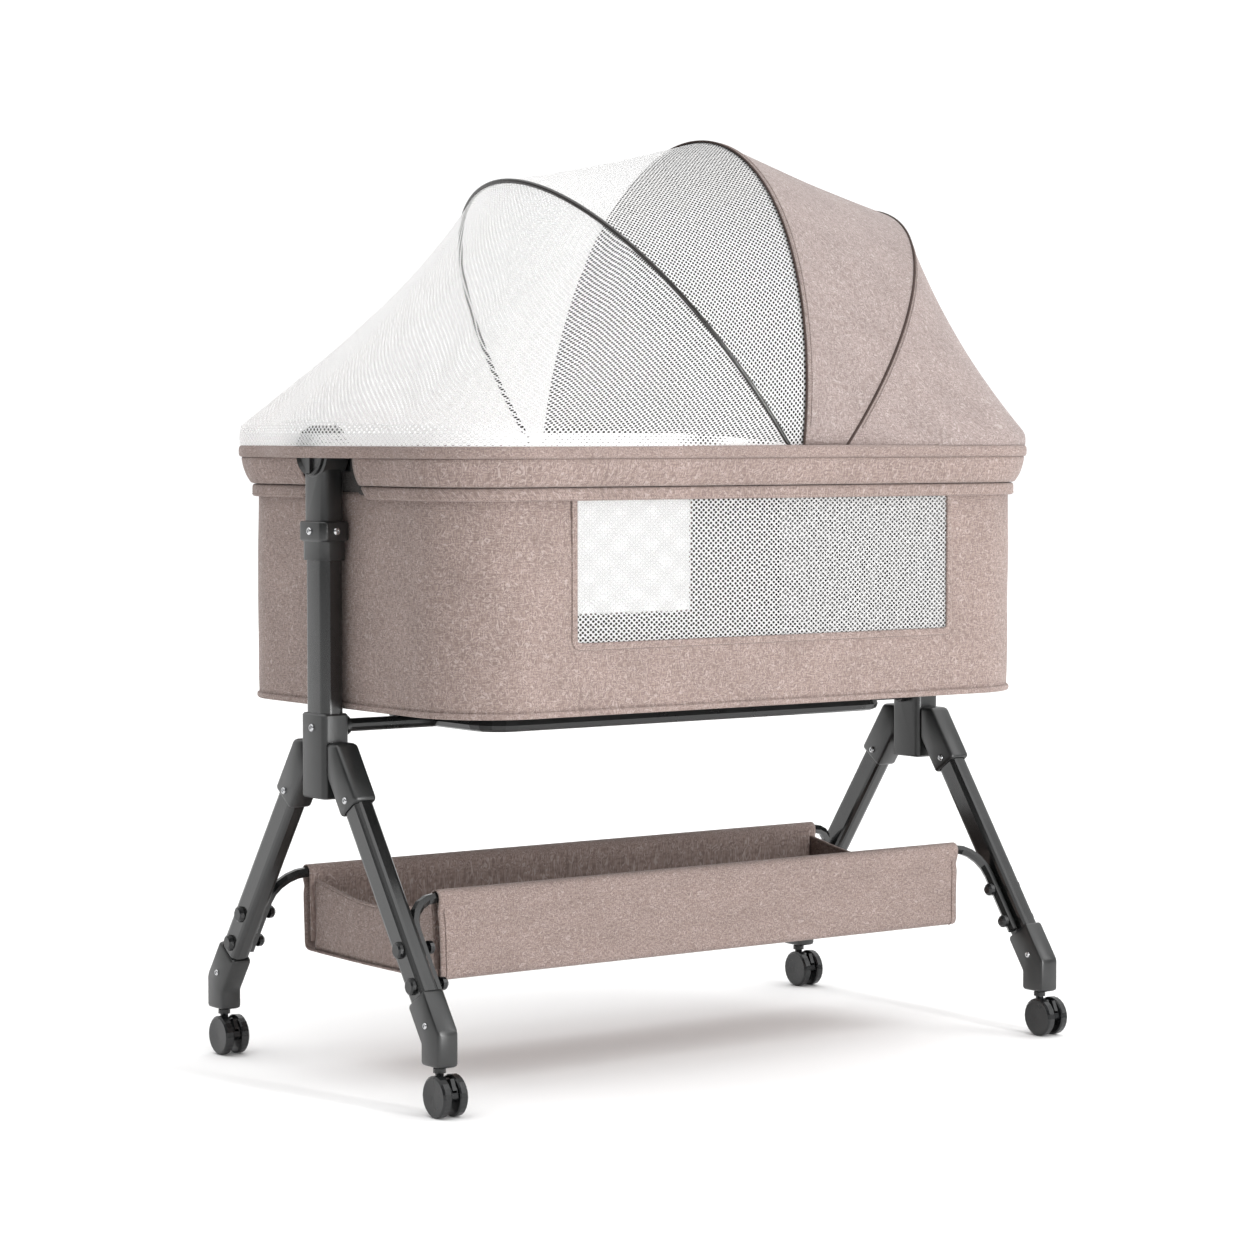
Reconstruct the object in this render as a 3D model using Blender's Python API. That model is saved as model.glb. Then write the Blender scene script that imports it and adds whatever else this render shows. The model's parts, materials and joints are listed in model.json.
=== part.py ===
"""Bedside bassinet on a wheeled stand, with a folding hood, a mosquito net and a storage tray.

Metres, +Z up. The origin is on the floor under the middle of the object. X runs along the bassinet,
with the hood at +X, and Y across it. "left" is the -X end and "front" is the -Y side.
"""

import math

import bmesh
import bpy
from mathutils import Matrix, Vector

# ---------------------------------------------------------------- driving dimensions
GAP = 0.0004  # clearance between pieces that touch
LEFT, RIGHT = -1, 1
FRONT, BACK = -1, 1

# stand
POST_X = 0.455  # uprights, from the middle
POST_SIZE = (0.030, 0.046)  # X and Y size of the upright tube
POST_FOOT_Z, POST_TOP_Z = 0.362, 0.634
INNER_TUBE_SIZE = (0.0235, 0.0395)
HUB_SIZE = (0.036, 0.053)
HUB_Z = (0.338, 0.438)
LEG_SIZE = (0.024, 0.034)  # X size, and size across the leg
LEG_ANGLE = math.radians(35.0)  # from upright
FOOT_Y, FOOT_BEND_Z = 0.246, 0.088
FOOT_SIZE = (0.028, 0.038)
FOOT_BOTTOM_Z = 0.0555
SOCKET_WIDTH = 0.042
CROSS_Z, CROSS_RADIUS = 0.422, 0.008
CROSS_LOOP = (0.300, 0.118)  # half length and half width of the loop under the basket

# storage tray
RAIL_Y, RAIL_Z, RAIL_RADIUS = 0.1455, 0.2305, 0.0065
RAIL_BEND = 0.040
TRAY_HALF_LENGTH, TRAY_FLOOR_Z, TRAY_CLOTH = 0.394, 0.133, 0.002
TRAY_BOLT_Z = (0.180, 0.142)

# casters
WHEEL_RADIUS, WHEEL_TRAIL = 0.024, 0.012
WHEEL_INNER_X, WHEEL_OUTER_X = 0.0055, 0.0165

# basket
BODY_HALF, BODY_CORNER = (0.4335, 0.264), 0.098
BODY_BOTTOM_Z, BODY_TOP_Z, BODY_CLOTH = 0.4413, 0.700, 0.003
FLOOR_Z = (0.4455, 0.4515)
MATTRESS_Z = (0.4525, 0.4880)
RIM_Z = 0.750
RIM_TUBE_INSET, RIM_TUBE_Z, RIM_TUBE_RADIUS = 0.0145, 0.735, 0.008
RIM_BOW, RIM_BOW_HALF_WIDTH, RIM_BOW_FLAT = 0.0252, 0.165, 0.034  # each end of the rim bows out past the pivots
PIVOT_Z, HEAD_RADIUS = 0.744, 0.031

# canopy: foot X, lean of the top past the foot, rise over the rim, half width, and the pivot they share
HOOP_RADIUS = 0.002
CANOPY_PIVOT = (0.053, 0.720)
REAR_HOOP = (0.1108, 0.2461, 0.3017, 0.2612)
HOOD_HOOP = (0.0466, 0.0436, 0.3793, 0.2662)
NET_HOOP = (0.0237, -0.2268, 0.3188, 0.2712)
CLOTH = 0.0016
HOOP_CLEAR = 0.0045


# ---------------------------------------------------------------- small helpers
def clear_scene():
    for obj in list(bpy.data.objects):
        bpy.data.objects.remove(obj, do_unlink=True)


def material(name, colour, roughness, metallic=0.0):
    made = bpy.data.materials.new(name)
    made.use_nodes = True
    shader = made.node_tree.nodes["Principled BSDF"]
    shader.inputs["Base Color"].default_value = (*colour, 1.0)
    shader.inputs["Roughness"].default_value = roughness
    shader.inputs["Metallic"].default_value = metallic
    return made


def link(name, data, finish, pivot=(0.0, 0.0, 0.0)):
    """The data, which is in world places, as an object whose origin is at pivot."""
    data.transform(Matrix.Translation(-Vector(pivot)))
    obj = bpy.data.objects.new(name, data)
    obj.location = pivot
    bpy.context.scene.collection.objects.link(obj)
    data.materials.append(finish)
    return obj


def mesh_of(bm, smooth_below=40.0):
    bmesh.ops.remove_doubles(bm, verts=bm.verts, dist=1e-6)
    bmesh.ops.recalc_face_normals(bm, faces=bm.faces)
    mesh = bpy.data.meshes.new("mesh")
    bm.to_mesh(mesh)
    bm.free()
    mesh.shade_smooth()
    mesh.set_sharp_from_angle(angle=math.radians(smooth_below))
    return mesh


def cutter(name, bm):
    """A hidden tool for a Boolean."""
    obj = bpy.data.objects.new(name, mesh_of(bm))
    bpy.context.scene.collection.objects.link(obj)
    obj.hide_render = True
    obj.display_type = "WIRE"
    return obj


def boolean(obj, operation, other):
    step = obj.modifiers.new(operation.title(), "BOOLEAN")
    step.operation = operation
    step.object = other
    step.solver = "EXACT"


def rounded_box(half_x, half_y, radius, steps=3):
    """The outline of a rectangle with round corners, anticlockwise, as (x, y) points."""
    points = []
    for corner, (sx, sy) in enumerate(((1, 1), (-1, 1), (-1, -1), (1, -1))):
        for k in range(steps + 1):
            turn = math.pi / 2 * (corner + k / steps)
            points.append(
                (
                    sx * (half_x - radius) + radius * math.cos(turn),
                    sy * (half_y - radius) + radius * math.sin(turn),
                )
            )
    return points


def prism(outline, depth):
    """A bmesh: the (x, y) outline at z 0, extruded up by depth."""
    bm = bmesh.new()
    face = bm.faces.new([bm.verts.new((x, y, 0.0)) for x, y in outline])
    top = bmesh.ops.extrude_face_region(bm, geom=[face])["geom"]
    moved = [v for v in top if isinstance(v, bmesh.types.BMVert)]
    bmesh.ops.translate(bm, verts=moved, vec=(0.0, 0.0, depth))
    return bm


def side_plate(outline, x_low, x_high, side_y=FRONT):
    """A bmesh: an outline of (distance from the middle, z) points, extruded along X on one side of Y."""
    bm = prism(outline, x_high - x_low)
    turn = Matrix(((0, 0, 1, x_low), (side_y, 0, 0, 0), (0, 1, 0, 0), (0, 0, 0, 1)))
    bm.transform(turn)
    bmesh.ops.recalc_face_normals(bm, faces=bm.faces)
    return bm


def bevel(bm, width, segments=2, least_angle=20.0):
    least = math.radians(least_angle)
    edges = [e for e in bm.edges if e.calc_face_angle(0.0) > least]
    bmesh.ops.bevel(
        bm, geom=edges, offset=width, segments=segments, profile=0.5, affect="EDGES", material=-1
    )


def bar(size, radius, low, high, steps=3):
    """A bmesh: a straight bar of round-cornered section from point low to point high, X size first."""
    low, high = Vector(low), Vector(high)
    along = high - low
    bm = prism(rounded_box(size[0] / 2, size[1] / 2, radius, steps), along.length)
    z = along.normalized()
    y = z.cross(Vector((1.0, 0.0, 0.0))).normalized()
    turn = Matrix((y.cross(z), y, z)).transposed().to_4x4()
    bm.transform(Matrix.Translation(low) @ turn)
    return bm


def turned(profile, centre, axis, segments=16):
    """A bmesh: the (distance along axis, radius) profile spun round an axis through centre."""
    bm = bmesh.new()
    axis = Vector(axis).normalized()
    out = axis.orthogonal().normalized()
    verts = [bm.verts.new(Vector(centre) + axis * a + out * r) for a, r in profile]
    edges = [bm.edges.new(pair) for pair in zip(verts, verts[1:])]
    bmesh.ops.spin(
        bm,
        geom=verts + edges,
        cent=centre,
        axis=axis,
        angle=math.tau,
        steps=segments,
        use_merge=True,
        use_duplicate=False,
    )
    bmesh.ops.remove_doubles(bm, verts=bm.verts, dist=1e-6)
    bm.normal_update()
    flat_ends = [v for v in bm.verts if len(v.link_faces) == segments and v.calc_shell_factor() < 1.0001]
    bmesh.ops.dissolve_verts(bm, verts=flat_ends)
    return bm


def rod(centre, axis, low, high, radius, segments=12):
    return turned([(low, 0.0), (low, radius), (high, radius), (high, 0.0)], centre, axis, segments)


def tube(name, points, radius, finish, cyclic=False, sides=2, pivot=(0.0, 0.0, 0.0)):
    """A round rod along the points, as a mesh made from a bevelled curve. Its section has 4 + 2 * sides sides."""
    curve = bpy.data.curves.new(name, "CURVE")
    curve.dimensions = "3D"
    curve.bevel_depth = radius
    curve.bevel_resolution = sides
    curve.use_fill_caps = not cyclic
    spline = curve.splines.new("POLY")
    spline.points.add(len(points) - 1)
    for point, place in zip(spline.points, points):
        point.co = (*place, 1.0)
    spline.use_cyclic_u = cyclic
    holder = bpy.data.objects.new("guide", curve)
    bpy.context.scene.collection.objects.link(holder)
    bpy.context.view_layer.update()
    bm = bmesh.new()
    bm.from_mesh(holder.to_mesh())
    holder.to_mesh_clear()
    bpy.data.objects.remove(holder)
    return link(name, mesh_of(bm), finish, pivot)


def fillet(corner, arm_in, arm_out, reach, steps=6):
    """Points of a round bend at a corner, from reach along arm_in to reach along arm_out."""
    corner, a, b = Vector(corner), Vector(arm_in).normalized(), Vector(arm_out).normalized()
    half = a.angle(b) / 2
    radius = reach * math.tan(half)
    centre = corner + (a + b).normalized() * (reach / math.cos(half))
    start = corner + a * reach - centre
    side = (corner + b * reach - centre) - start * math.cos(math.pi - 2 * half)
    side = side.normalized() * radius
    turn = math.pi - 2 * half
    return [
        centre + start * math.cos(turn * k / steps) + side * math.sin(turn * k / steps)
        for k in range(steps + 1)
    ]


def side_name(sx, sy=None):
    end = "left" if sx == LEFT else "right"
    return end if sy is None else end + ("_front" if sy == FRONT else "_back")


# ---------------------------------------------------------------- stand
def leg_point(distance, offset=0.0):
    """(distance from the middle, z) on a leg, measured up the leg from its bend, and out across it."""
    return (
        FOOT_Y - math.sin(LEG_ANGLE) * distance + math.cos(LEG_ANGLE) * offset,
        FOOT_BEND_Z + math.cos(LEG_ANGLE) * distance + math.sin(LEG_ANGLE) * offset,
    )


def leg_distance_at(z):
    return (z - FOOT_BEND_Z) / math.cos(LEG_ANGLE)


def leg_bar(sx, sy, low, high, grow=0.0):
    (y_low, z_low), (y_high, z_high) = leg_point(low), leg_point(high)
    size = (LEG_SIZE[0] + 2 * grow, LEG_SIZE[1] + 2 * grow)
    x = sx * POST_X
    return bar(size, 0.007 + grow, (x, sy * y_low, z_low), (x, sy * y_high, z_high))


def make_leg(sx, sy, finish):
    """A flat-oval steel tube, drilled for the two bolts that hold the tray rail."""
    leg = link("leg_" + side_name(sx, sy), mesh_of(leg_bar(sx, sy, 0.012, 0.352)), finish)
    for k, z in enumerate(TRAY_BOLT_Z):
        y = leg_point(leg_distance_at(z))[0]
        hole = rod((sx * POST_X, sy * y, z), (1, 0, 0), -0.02, 0.02, 0.0036, 8)
        boolean(leg, "DIFFERENCE", cutter(f"{leg.name}_hole_{k}", hole))
    return leg


def make_leg_socket(sx, sy, finish):
    """The moulded shoulder that carries the top of a leg beside the hub."""
    half = SOCKET_WIDTH / 2
    inner = HUB_SIZE[1] / 2 + GAP
    top, end = 0.405, leg_distance_at(0.331)
    low_out, low_in = leg_point(end, half), leg_point(end, -half)
    top_at = leg_distance_at(top)
    top_out = (leg_point(top_at)[0] + half / math.cos(LEG_ANGLE), top)
    knee = FOOT_BEND_Z + (FOOT_Y - half / math.cos(LEG_ANGLE) - inner) / math.tan(LEG_ANGLE)
    outline = [(inner, top), (inner, knee), low_in, low_out, top_out]
    x = sx * POST_X
    bm = side_plate(outline, x - 0.0155, x + 0.0155, sy)
    bevel(bm, 0.005)
    socket = link("leg_socket_" + side_name(sx, sy), mesh_of(bm), finish)
    pocket = leg_bar(sx, sy, 0.2, 0.352 + GAP, GAP)
    boolean(socket, "DIFFERENCE", cutter(socket.name + "_pocket", pocket))
    return socket


def make_foot(sx, sy, finish):
    """The moulded elbow at the bottom of a leg, which holds the caster's stem."""
    half, half_up = FOOT_SIZE[1] / 2, 0.0205
    slope = 1 / math.cos(LEG_ANGLE)
    bend = [
        (half - half_up * math.cos(LEG_ANGLE)) / -math.sin(LEG_ANGLE),
        (half - half_up * math.cos(LEG_ANGLE)) / math.sin(LEG_ANGLE),
    ]
    outline = [
        (FOOT_Y - half, FOOT_BOTTOM_Z),
        (FOOT_Y + half, FOOT_BOTTOM_Z),
        leg_point(bend[0], half_up),
        leg_point(0.052 * slope * math.cos(LEG_ANGLE), half_up),
        leg_point(0.052, -half_up),
        leg_point(bend[1], -half_up),
    ]
    x = sx * POST_X
    bm = side_plate(outline, x - FOOT_SIZE[0] / 2, x + FOOT_SIZE[0] / 2, sy)
    bevel(bm, 0.0045)
    foot = link("foot_" + side_name(sx, sy), mesh_of(bm), finish)
    pocket = leg_bar(sx, sy, 0.012 - GAP, 0.1, GAP)
    boolean(foot, "DIFFERENCE", cutter(foot.name + "_pocket", pocket))
    stem_hole = rod((x, sy * FOOT_Y, FOOT_BOTTOM_Z), (0, 0, 1), -0.01, 0.0225, 0.0045, 10)
    boolean(foot, "DIFFERENCE", cutter(foot.name + "_stem_hole", stem_hole))
    return foot


def make_hub(sx, finish):
    """The block that joins an upright, two leg sockets and the cross frame."""
    x = sx * POST_X
    bm = bar(HUB_SIZE, 0.007, (x, 0, HUB_Z[0]), (x, 0, HUB_Z[1]))
    rims = [e for e in bm.edges if abs(e.verts[0].co.z - e.verts[1].co.z) < 1e-6]
    bmesh.ops.bevel(bm, geom=rims, offset=0.002, segments=1, profile=0.5, affect="EDGES", material=-1)
    hub = link("hub_" + side_name(sx), mesh_of(bm), finish)
    boss = rod((x, 0, CROSS_Z), (-sx, 0, 0), 0.012, HUB_SIZE[0] / 2 + 0.012, 0.0115)
    boolean(hub, "UNION", cutter(hub.name + "_boss", boss))
    grow = 2 * GAP
    pocket = bar(
        (POST_SIZE[0] + grow, POST_SIZE[1] + grow),
        0.008 + GAP,
        (x, 0, POST_FOOT_Z - GAP),
        (x, 0, HUB_Z[1] + 0.01),
    )
    boolean(hub, "DIFFERENCE", cutter(hub.name + "_pocket", pocket))
    tenon = rod((x, 0, CROSS_Z), (-sx, 0, 0), POST_SIZE[0] / 2 + 0.0005, 0.04, CROSS_RADIUS + GAP)
    boolean(hub, "DIFFERENCE", cutter(hub.name + "_tenon_hole", tenon))
    return hub


def make_post(sx, finish):
    """The fixed lower tube of an upright. The inner tube slides in it."""
    x = sx * POST_X
    post = link(
        "post_" + side_name(sx),
        mesh_of(bar(POST_SIZE, 0.008, (x, 0, POST_FOOT_Z), (x, 0, POST_TOP_Z))),
        finish,
    )
    grow = 0.001
    bore = bar(
        (INNER_TUBE_SIZE[0] + grow, INNER_TUBE_SIZE[1] + grow),
        0.0055,
        (x, 0, POST_FOOT_Z + 0.004),
        (x, 0, POST_TOP_Z + 0.01),
    )
    boolean(post, "DIFFERENCE", cutter(post.name + "_bore", bore))
    return post


def make_cross_frame(finish):
    """One bent tube: a loop under the basket with a stub that reaches each hub."""
    half_x, half_y = CROSS_LOOP
    outline = rounded_box(half_x, half_y, 0.035, 4)
    loop = tube(
        "cross_frame", [(x, y, CROSS_Z) for x, y in outline], CROSS_RADIUS, finish, cyclic=True
    )
    reach = POST_X - POST_SIZE[0] / 2 - 0.0012
    for sx in (LEFT, RIGHT):
        stub = rod((0, 0, CROSS_Z), (sx, 0, 0), half_x, reach, CROSS_RADIUS - 0.0001, 12)
        boolean(loop, "UNION", cutter(f"cross_stub_{side_name(sx)}", stub))
    return loop


def make_tray_rail(sy, finish):
    """A rod along one side of the tray, whose ends bend down along the legs."""
    x_end = POST_X - LEG_SIZE[0] / 2 - GAP - RAIL_RADIUS
    down = Vector((0.0, sy * math.sin(LEG_ANGLE), -math.cos(LEG_ANGLE)))
    corner = Vector((-x_end, sy * RAIL_Y, RAIL_Z))
    along = Vector((1.0, 0.0, 0.0))
    foot = corner + down * 0.122
    left = [foot, *fillet(corner, down, along, RAIL_BEND, 5)]
    points = left + [Vector((-p.x, p.y, p.z)) for p in reversed(left)]
    rail = tube("tray_rail_" + ("front" if sy == FRONT else "back"), points, RAIL_RADIUS, finish, sides=1)
    for sx in (LEFT, RIGHT):
        for k, z in enumerate(TRAY_BOLT_Z):
            y = leg_point(leg_distance_at(z))[0]
            hole = rod((sx * x_end, sy * y, z), (1, 0, 0), -0.02, 0.02, 0.0036, 8)
            boolean(rail, "DIFFERENCE", cutter(f"{rail.name}_hole_{side_name(sx)}_{k}", hole))
    return rail


def make_tray_bolt(sx, sy, k, finish):
    """A bolt with a round cap outside the leg and a domed nut inside the rail, as one turned piece."""
    z = TRAY_BOLT_Z[k]
    y = leg_point(leg_distance_at(z))[0]
    leg_face = LEG_SIZE[0] / 2 + GAP
    rail_face = leg_face + 2 * RAIL_RADIUS + GAP
    profile = [
        (-leg_face - 0.0052, 0.0),
        (-leg_face - 0.0052, 0.0072),
        (-leg_face - 0.0036, 0.0095),
        (-leg_face, 0.0100),
        (-leg_face, 0.0030),
        (rail_face, 0.0030),
        (rail_face, 0.0080),
        (rail_face + 0.0050, 0.0078),
        (rail_face + 0.0080, 0.0050),
        (rail_face + 0.0088, 0.0),
    ]
    bm = turned(profile, (sx * POST_X, sy * y, z), (-sx, 0, 0), 12)
    place = "upper" if k == 0 else "lower"
    return link(f"tray_bolt_{side_name(sx, sy)}_{place}", mesh_of(bm), finish)


def make_tray(finish):
    """The cloth trough: one strip hooked over both rails, with a panel across each end."""
    wrap, cloth = RAIL_RADIUS + 0.001, TRAY_CLOTH
    outer = [(RAIL_Y - wrap - cloth, RAIL_Z - 0.012)]
    inner = [(RAIL_Y - wrap, RAIL_Z - 0.012)]
    for k in range(7):
        turn = math.pi * (1 - k / 6)
        outer.append((RAIL_Y + (wrap + cloth) * math.cos(turn), RAIL_Z + (wrap + cloth) * math.sin(turn)))
        inner.append((RAIL_Y + wrap * math.cos(turn), RAIL_Z + wrap * math.sin(turn)))
    outer.append((RAIL_Y + wrap + cloth, TRAY_FLOOR_Z))
    inner.append((RAIL_Y + wrap, TRAY_FLOOR_Z + cloth))
    half = outer + [(-y, z) for y, z in reversed(outer)]
    half += [(-y, z) for y, z in inner] + list(reversed(inner))
    bm = side_plate(half, -TRAY_HALF_LENGTH, TRAY_HALF_LENGTH, BACK)
    tray = link("storage_tray", mesh_of(bm), finish)
    reach = RAIL_Y + wrap + cloth / 2
    top = RAIL_Z - wrap - 0.004
    panel = [(-reach, TRAY_FLOOR_Z + 0.001), (reach, TRAY_FLOOR_Z + 0.001), (reach, top), (-reach, top)]
    for sx in (LEFT, RIGHT):
        x = sx * (TRAY_HALF_LENGTH - 0.003)
        end = side_plate(panel, x - cloth / 2, x + cloth / 2, BACK)
        boolean(tray, "UNION", cutter(f"tray_end_{side_name(sx)}", end))
    return tray


# ---------------------------------------------------------------- casters
def make_caster(sx, sy, finish):
    """One twin-wheel caster: a swivelling housing with its stem, the wheel pair and the brake lever."""
    name = side_name(sx, sy)
    stem = Vector((sx * POST_X, sy * FOOT_Y, 0.0))
    axle = stem + Vector((0.0, -WHEEL_TRAIL, WHEEL_RADIUS))
    swivel = bpy.data.objects.new("swivel_" + name, None)
    swivel.location = stem
    bpy.context.scene.collection.objects.link(swivel)

    cheek = [(-0.0205 + 0.0205 * (1 - math.cos(math.pi * k / 6)), 0.0205 * math.sin(math.pi * k / 6)) for k in range(7)]
    outline = [(y, z) for y, z in reversed(cheek)] + [(-0.0125, -0.006), (0.0125, -0.006)]
    bm = prism([(y, z) for y, z in outline], 0.009)
    turn = Matrix(((0, 0, 1, axle.x - 0.0045), (1, 0, 0, axle.y), (0, 1, 0, axle.z), (0, 0, 0, 1)))
    bm.transform(turn)
    housing = link("caster_housing_" + name, mesh_of(bm), finish, stem)
    collar = turned(
        [(0.030, 0.0), (0.030, 0.0050), (0.0487, 0.0050), (0.0487, 0.0075), (0.0537, 0.0075), (0.0548, 0.0040), (0.0770, 0.0040), (0.0770, 0.0)],
        stem,
        (0, 0, 1),
        12,
    )
    boolean(housing, "UNION", cutter(f"caster_stem_{name}", collar))
    bore = rod(axle, (1, 0, 0), -0.02, 0.02, 0.0034, 10)
    boolean(housing, "DIFFERENCE", cutter(f"caster_bore_{name}", bore))
    rest = Matrix.Translation((0.0, -0.0135, 0.0145))
    slot = bmesh.new()
    bmesh.ops.create_cube(slot, size=1.0, matrix=Matrix.Translation(axle) @ rest @ Matrix.Diagonal((0.0064, 0.0160, 0.0170, 1)))
    boolean(housing, "DIFFERENCE", cutter(f"caster_slot_{name}", slot))

    half = [
        (WHEEL_INNER_X, 0.0030),
        (WHEEL_INNER_X, 0.0225),
        (WHEEL_INNER_X + 0.0015, WHEEL_RADIUS),
        (WHEEL_OUTER_X - 0.0020, WHEEL_RADIUS),
        (WHEEL_OUTER_X, 0.0215),
        (WHEEL_OUTER_X - 0.0008, 0.0),
    ]
    profile = [(-x, r) for x, r in reversed(half)] + half
    wheels = link("caster_wheels_" + name, mesh_of(turned(profile, axle, (1, 0, 0), 24)), finish, axle)

    lever = prism([(-0.0195, 0.0090), (-0.0125, 0.0095), (-0.0065, 0.0150), (-0.0085, 0.0205), (-0.0140, 0.0215)], 0.0052)
    turn = Matrix(((0, 0, 1, axle.x - 0.0026), (1, 0, 0, axle.y), (0, 1, 0, axle.z), (0, 0, 0, 1)))
    lever.transform(turn)
    brake_pivot = axle + Vector((0.0, -0.0100, 0.0150))
    brake = link("brake_lever_" + name, mesh_of(lever), finish, brake_pivot)

    for piece in (housing, wheels, brake):
        piece.parent = swivel
        piece.location = piece.location - swivel.location


# ---------------------------------------------------------------- uprights' moving parts
def make_yoke(sx, finish, steel):
    """The head of an upright: a skirt over the post, a collar, a neck and the barrel that carries the basket."""
    x = sx * POST_X
    neck = bar(POST_SIZE, 0.008, (x, 0, 0.625), (x, 0, 0.726))
    yoke = link("yoke_" + side_name(sx), mesh_of(neck), finish)
    skirt = bar((0.0345, 0.0505), 0.010, (x, 0, 0.6174), (x, 0, 0.6400))
    boolean(yoke, "UNION", cutter(yoke.name + "_skirt", skirt))
    band = bar((0.0375, 0.0545), 0.0115, (x, 0, 0.6390), (x, 0, 0.6630))
    rims = [e for e in band.edges if abs(e.verts[0].co.z - e.verts[1].co.z) < 1e-6]
    bmesh.ops.bevel(band, geom=rims, offset=0.0015, segments=1, profile=0.5, affect="EDGES", material=-1)
    boolean(yoke, "UNION", cutter(yoke.name + "_band", band))
    out = (sx, 0, 0)
    barrel = turned(
        [(-0.0170, 0.0), (-0.0170, 0.0290), (-0.0150, HEAD_RADIUS), (0.0140, HEAD_RADIUS), (0.0160, 0.0290), (0.0160, 0.0)],
        (x, 0, PIVOT_Z),
        out,
        24,
    )
    boolean(yoke, "UNION", cutter(yoke.name + "_barrel", barrel))
    bore = rod((x, 0, PIVOT_Z), out, -0.03, -0.002, 0.0064, 16)
    boolean(yoke, "DIFFERENCE", cutter(yoke.name + "_bore", bore))
    seat = rod((x, 0, PIVOT_Z), out, 0.004, 0.03, 0.0054, 12)
    boolean(yoke, "DIFFERENCE", cutter(yoke.name + "_knob_seat", seat))
    post_room = bar((POST_SIZE[0] + 0.0014, POST_SIZE[1] + 0.0014), 0.0087, (x, 0, 0.60), (x, 0, POST_TOP_Z + 0.001))
    boolean(yoke, "DIFFERENCE", cutter(yoke.name + "_post_room", post_room))
    tube_room = bar((INNER_TUBE_SIZE[0] + 2 * GAP, INNER_TUBE_SIZE[1] + 2 * GAP), 0.0055, (x, 0, 0.62), (x, 0, 0.6905))
    boolean(yoke, "DIFFERENCE", cutter(yoke.name + "_tube_room", tube_room))
    button_room = rod((x, 0, 0.651), (0, -sx, 0), 0.0210, 0.04, 0.0062, 12)
    boolean(yoke, "DIFFERENCE", cutter(yoke.name + "_button_room", button_room))

    inner = link(
        "inner_tube_" + side_name(sx),
        mesh_of(bar(INNER_TUBE_SIZE, 0.0055, (x, 0, 0.440), (x, 0, 0.690))),
        steel,
    )
    hollow = bar((INNER_TUBE_SIZE[0] - 0.004, INNER_TUBE_SIZE[1] - 0.004), 0.0035, (x, 0, 0.43), (x, 0, 0.686))
    boolean(inner, "DIFFERENCE", cutter(inner.name + "_hollow", hollow))

    button = rod((x, 0, 0.651), (0, -sx, 0), 0.0250, 0.0305, 0.0056, 12)
    link("height_button_" + side_name(sx), mesh_of(button), finish, (x, -sx * 0.028, 0.651))


def make_lock_knob(sx, finish):
    """The round knob on the outer face of a yoke, with a grip bar across it."""
    face = sx * (POST_X + 0.0160 + GAP)
    profile = [(-0.0110, 0.0), (-0.0110, 0.0050), (0.0, 0.0050), (0.0, 0.0270), (0.0030, 0.0280), (0.0058, 0.0265), (0.0024, 0.0220), (0.0024, 0.0)]
    bm = turned(profile, (face, 0, PIVOT_Z), (sx, 0, 0), 24)
    knob = link("lock_knob_" + side_name(sx), mesh_of(bm), finish, (face, 0, PIVOT_Z))
    low, high = sorted((face + sx * 0.0020, face + sx * 0.0058))
    grip = bmesh.new()
    bmesh.ops.create_cube(
        grip,
        size=1.0,
        matrix=Matrix.Translation(((low + high) / 2, 0, PIVOT_Z)) @ Matrix.Diagonal((high - low, 0.0090, 0.0500, 1)),
    )
    boolean(knob, "UNION", cutter(knob.name + "_grip", grip))


# ---------------------------------------------------------------- basket
def body_outline(offset, steps=6):
    return rounded_box(BODY_HALF[0] + offset, BODY_HALF[1] + offset, BODY_CORNER + offset, steps)


def stack(rings, ring_shaped=False):
    """A bmesh: closed rings of points joined one to the next, first and last filled or joined to each other."""
    bm = bmesh.new()
    rows = [[bm.verts.new(p) for p in ring] for ring in rings]
    pairs = list(zip(rows, rows[1:]))
    if ring_shaped:
        pairs.append((rows[-1], rows[0]))
    for low, high in pairs:
        for k in range(len(low)):
            bm.faces.new((low[k - 1], low[k], high[k], high[k - 1]))
    if not ring_shaped:
        bm.faces.new(list(reversed(rows[0])))
        bm.faces.new(rows[-1])
    return bm


def lying(offset, z, steps=6):
    return [(x, y, z) for x, y in body_outline(offset, steps)]


def make_basket_body(finish):
    """The cloth tub: walls and base. The mesh windows are part of its walls here."""
    wall = BODY_CLOTH
    rings = [
        lying(-0.004, BODY_BOTTOM_Z),
        lying(0.0, BODY_BOTTOM_Z + 0.003),
        lying(0.0, BODY_TOP_Z),
        lying(-wall, BODY_TOP_Z),
        lying(-wall, BODY_BOTTOM_Z + 0.0035),
    ]
    return link("basket_body", mesh_of(stack(rings)), finish)


def make_floor_board(finish):
    return link("floor_board", mesh_of(stack([lying(-0.006, FLOOR_Z[0]), lying(-0.006, FLOOR_Z[1])])), finish)


def make_mattress(finish):
    low, high = MATTRESS_Z
    rings = [
        lying(-0.014, low),
        lying(-0.009, low + 0.006),
        lying(-0.009, high - 0.008),
        lying(-0.018, high),
    ]
    return link("mattress", mesh_of(stack(rings)), finish)


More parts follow.
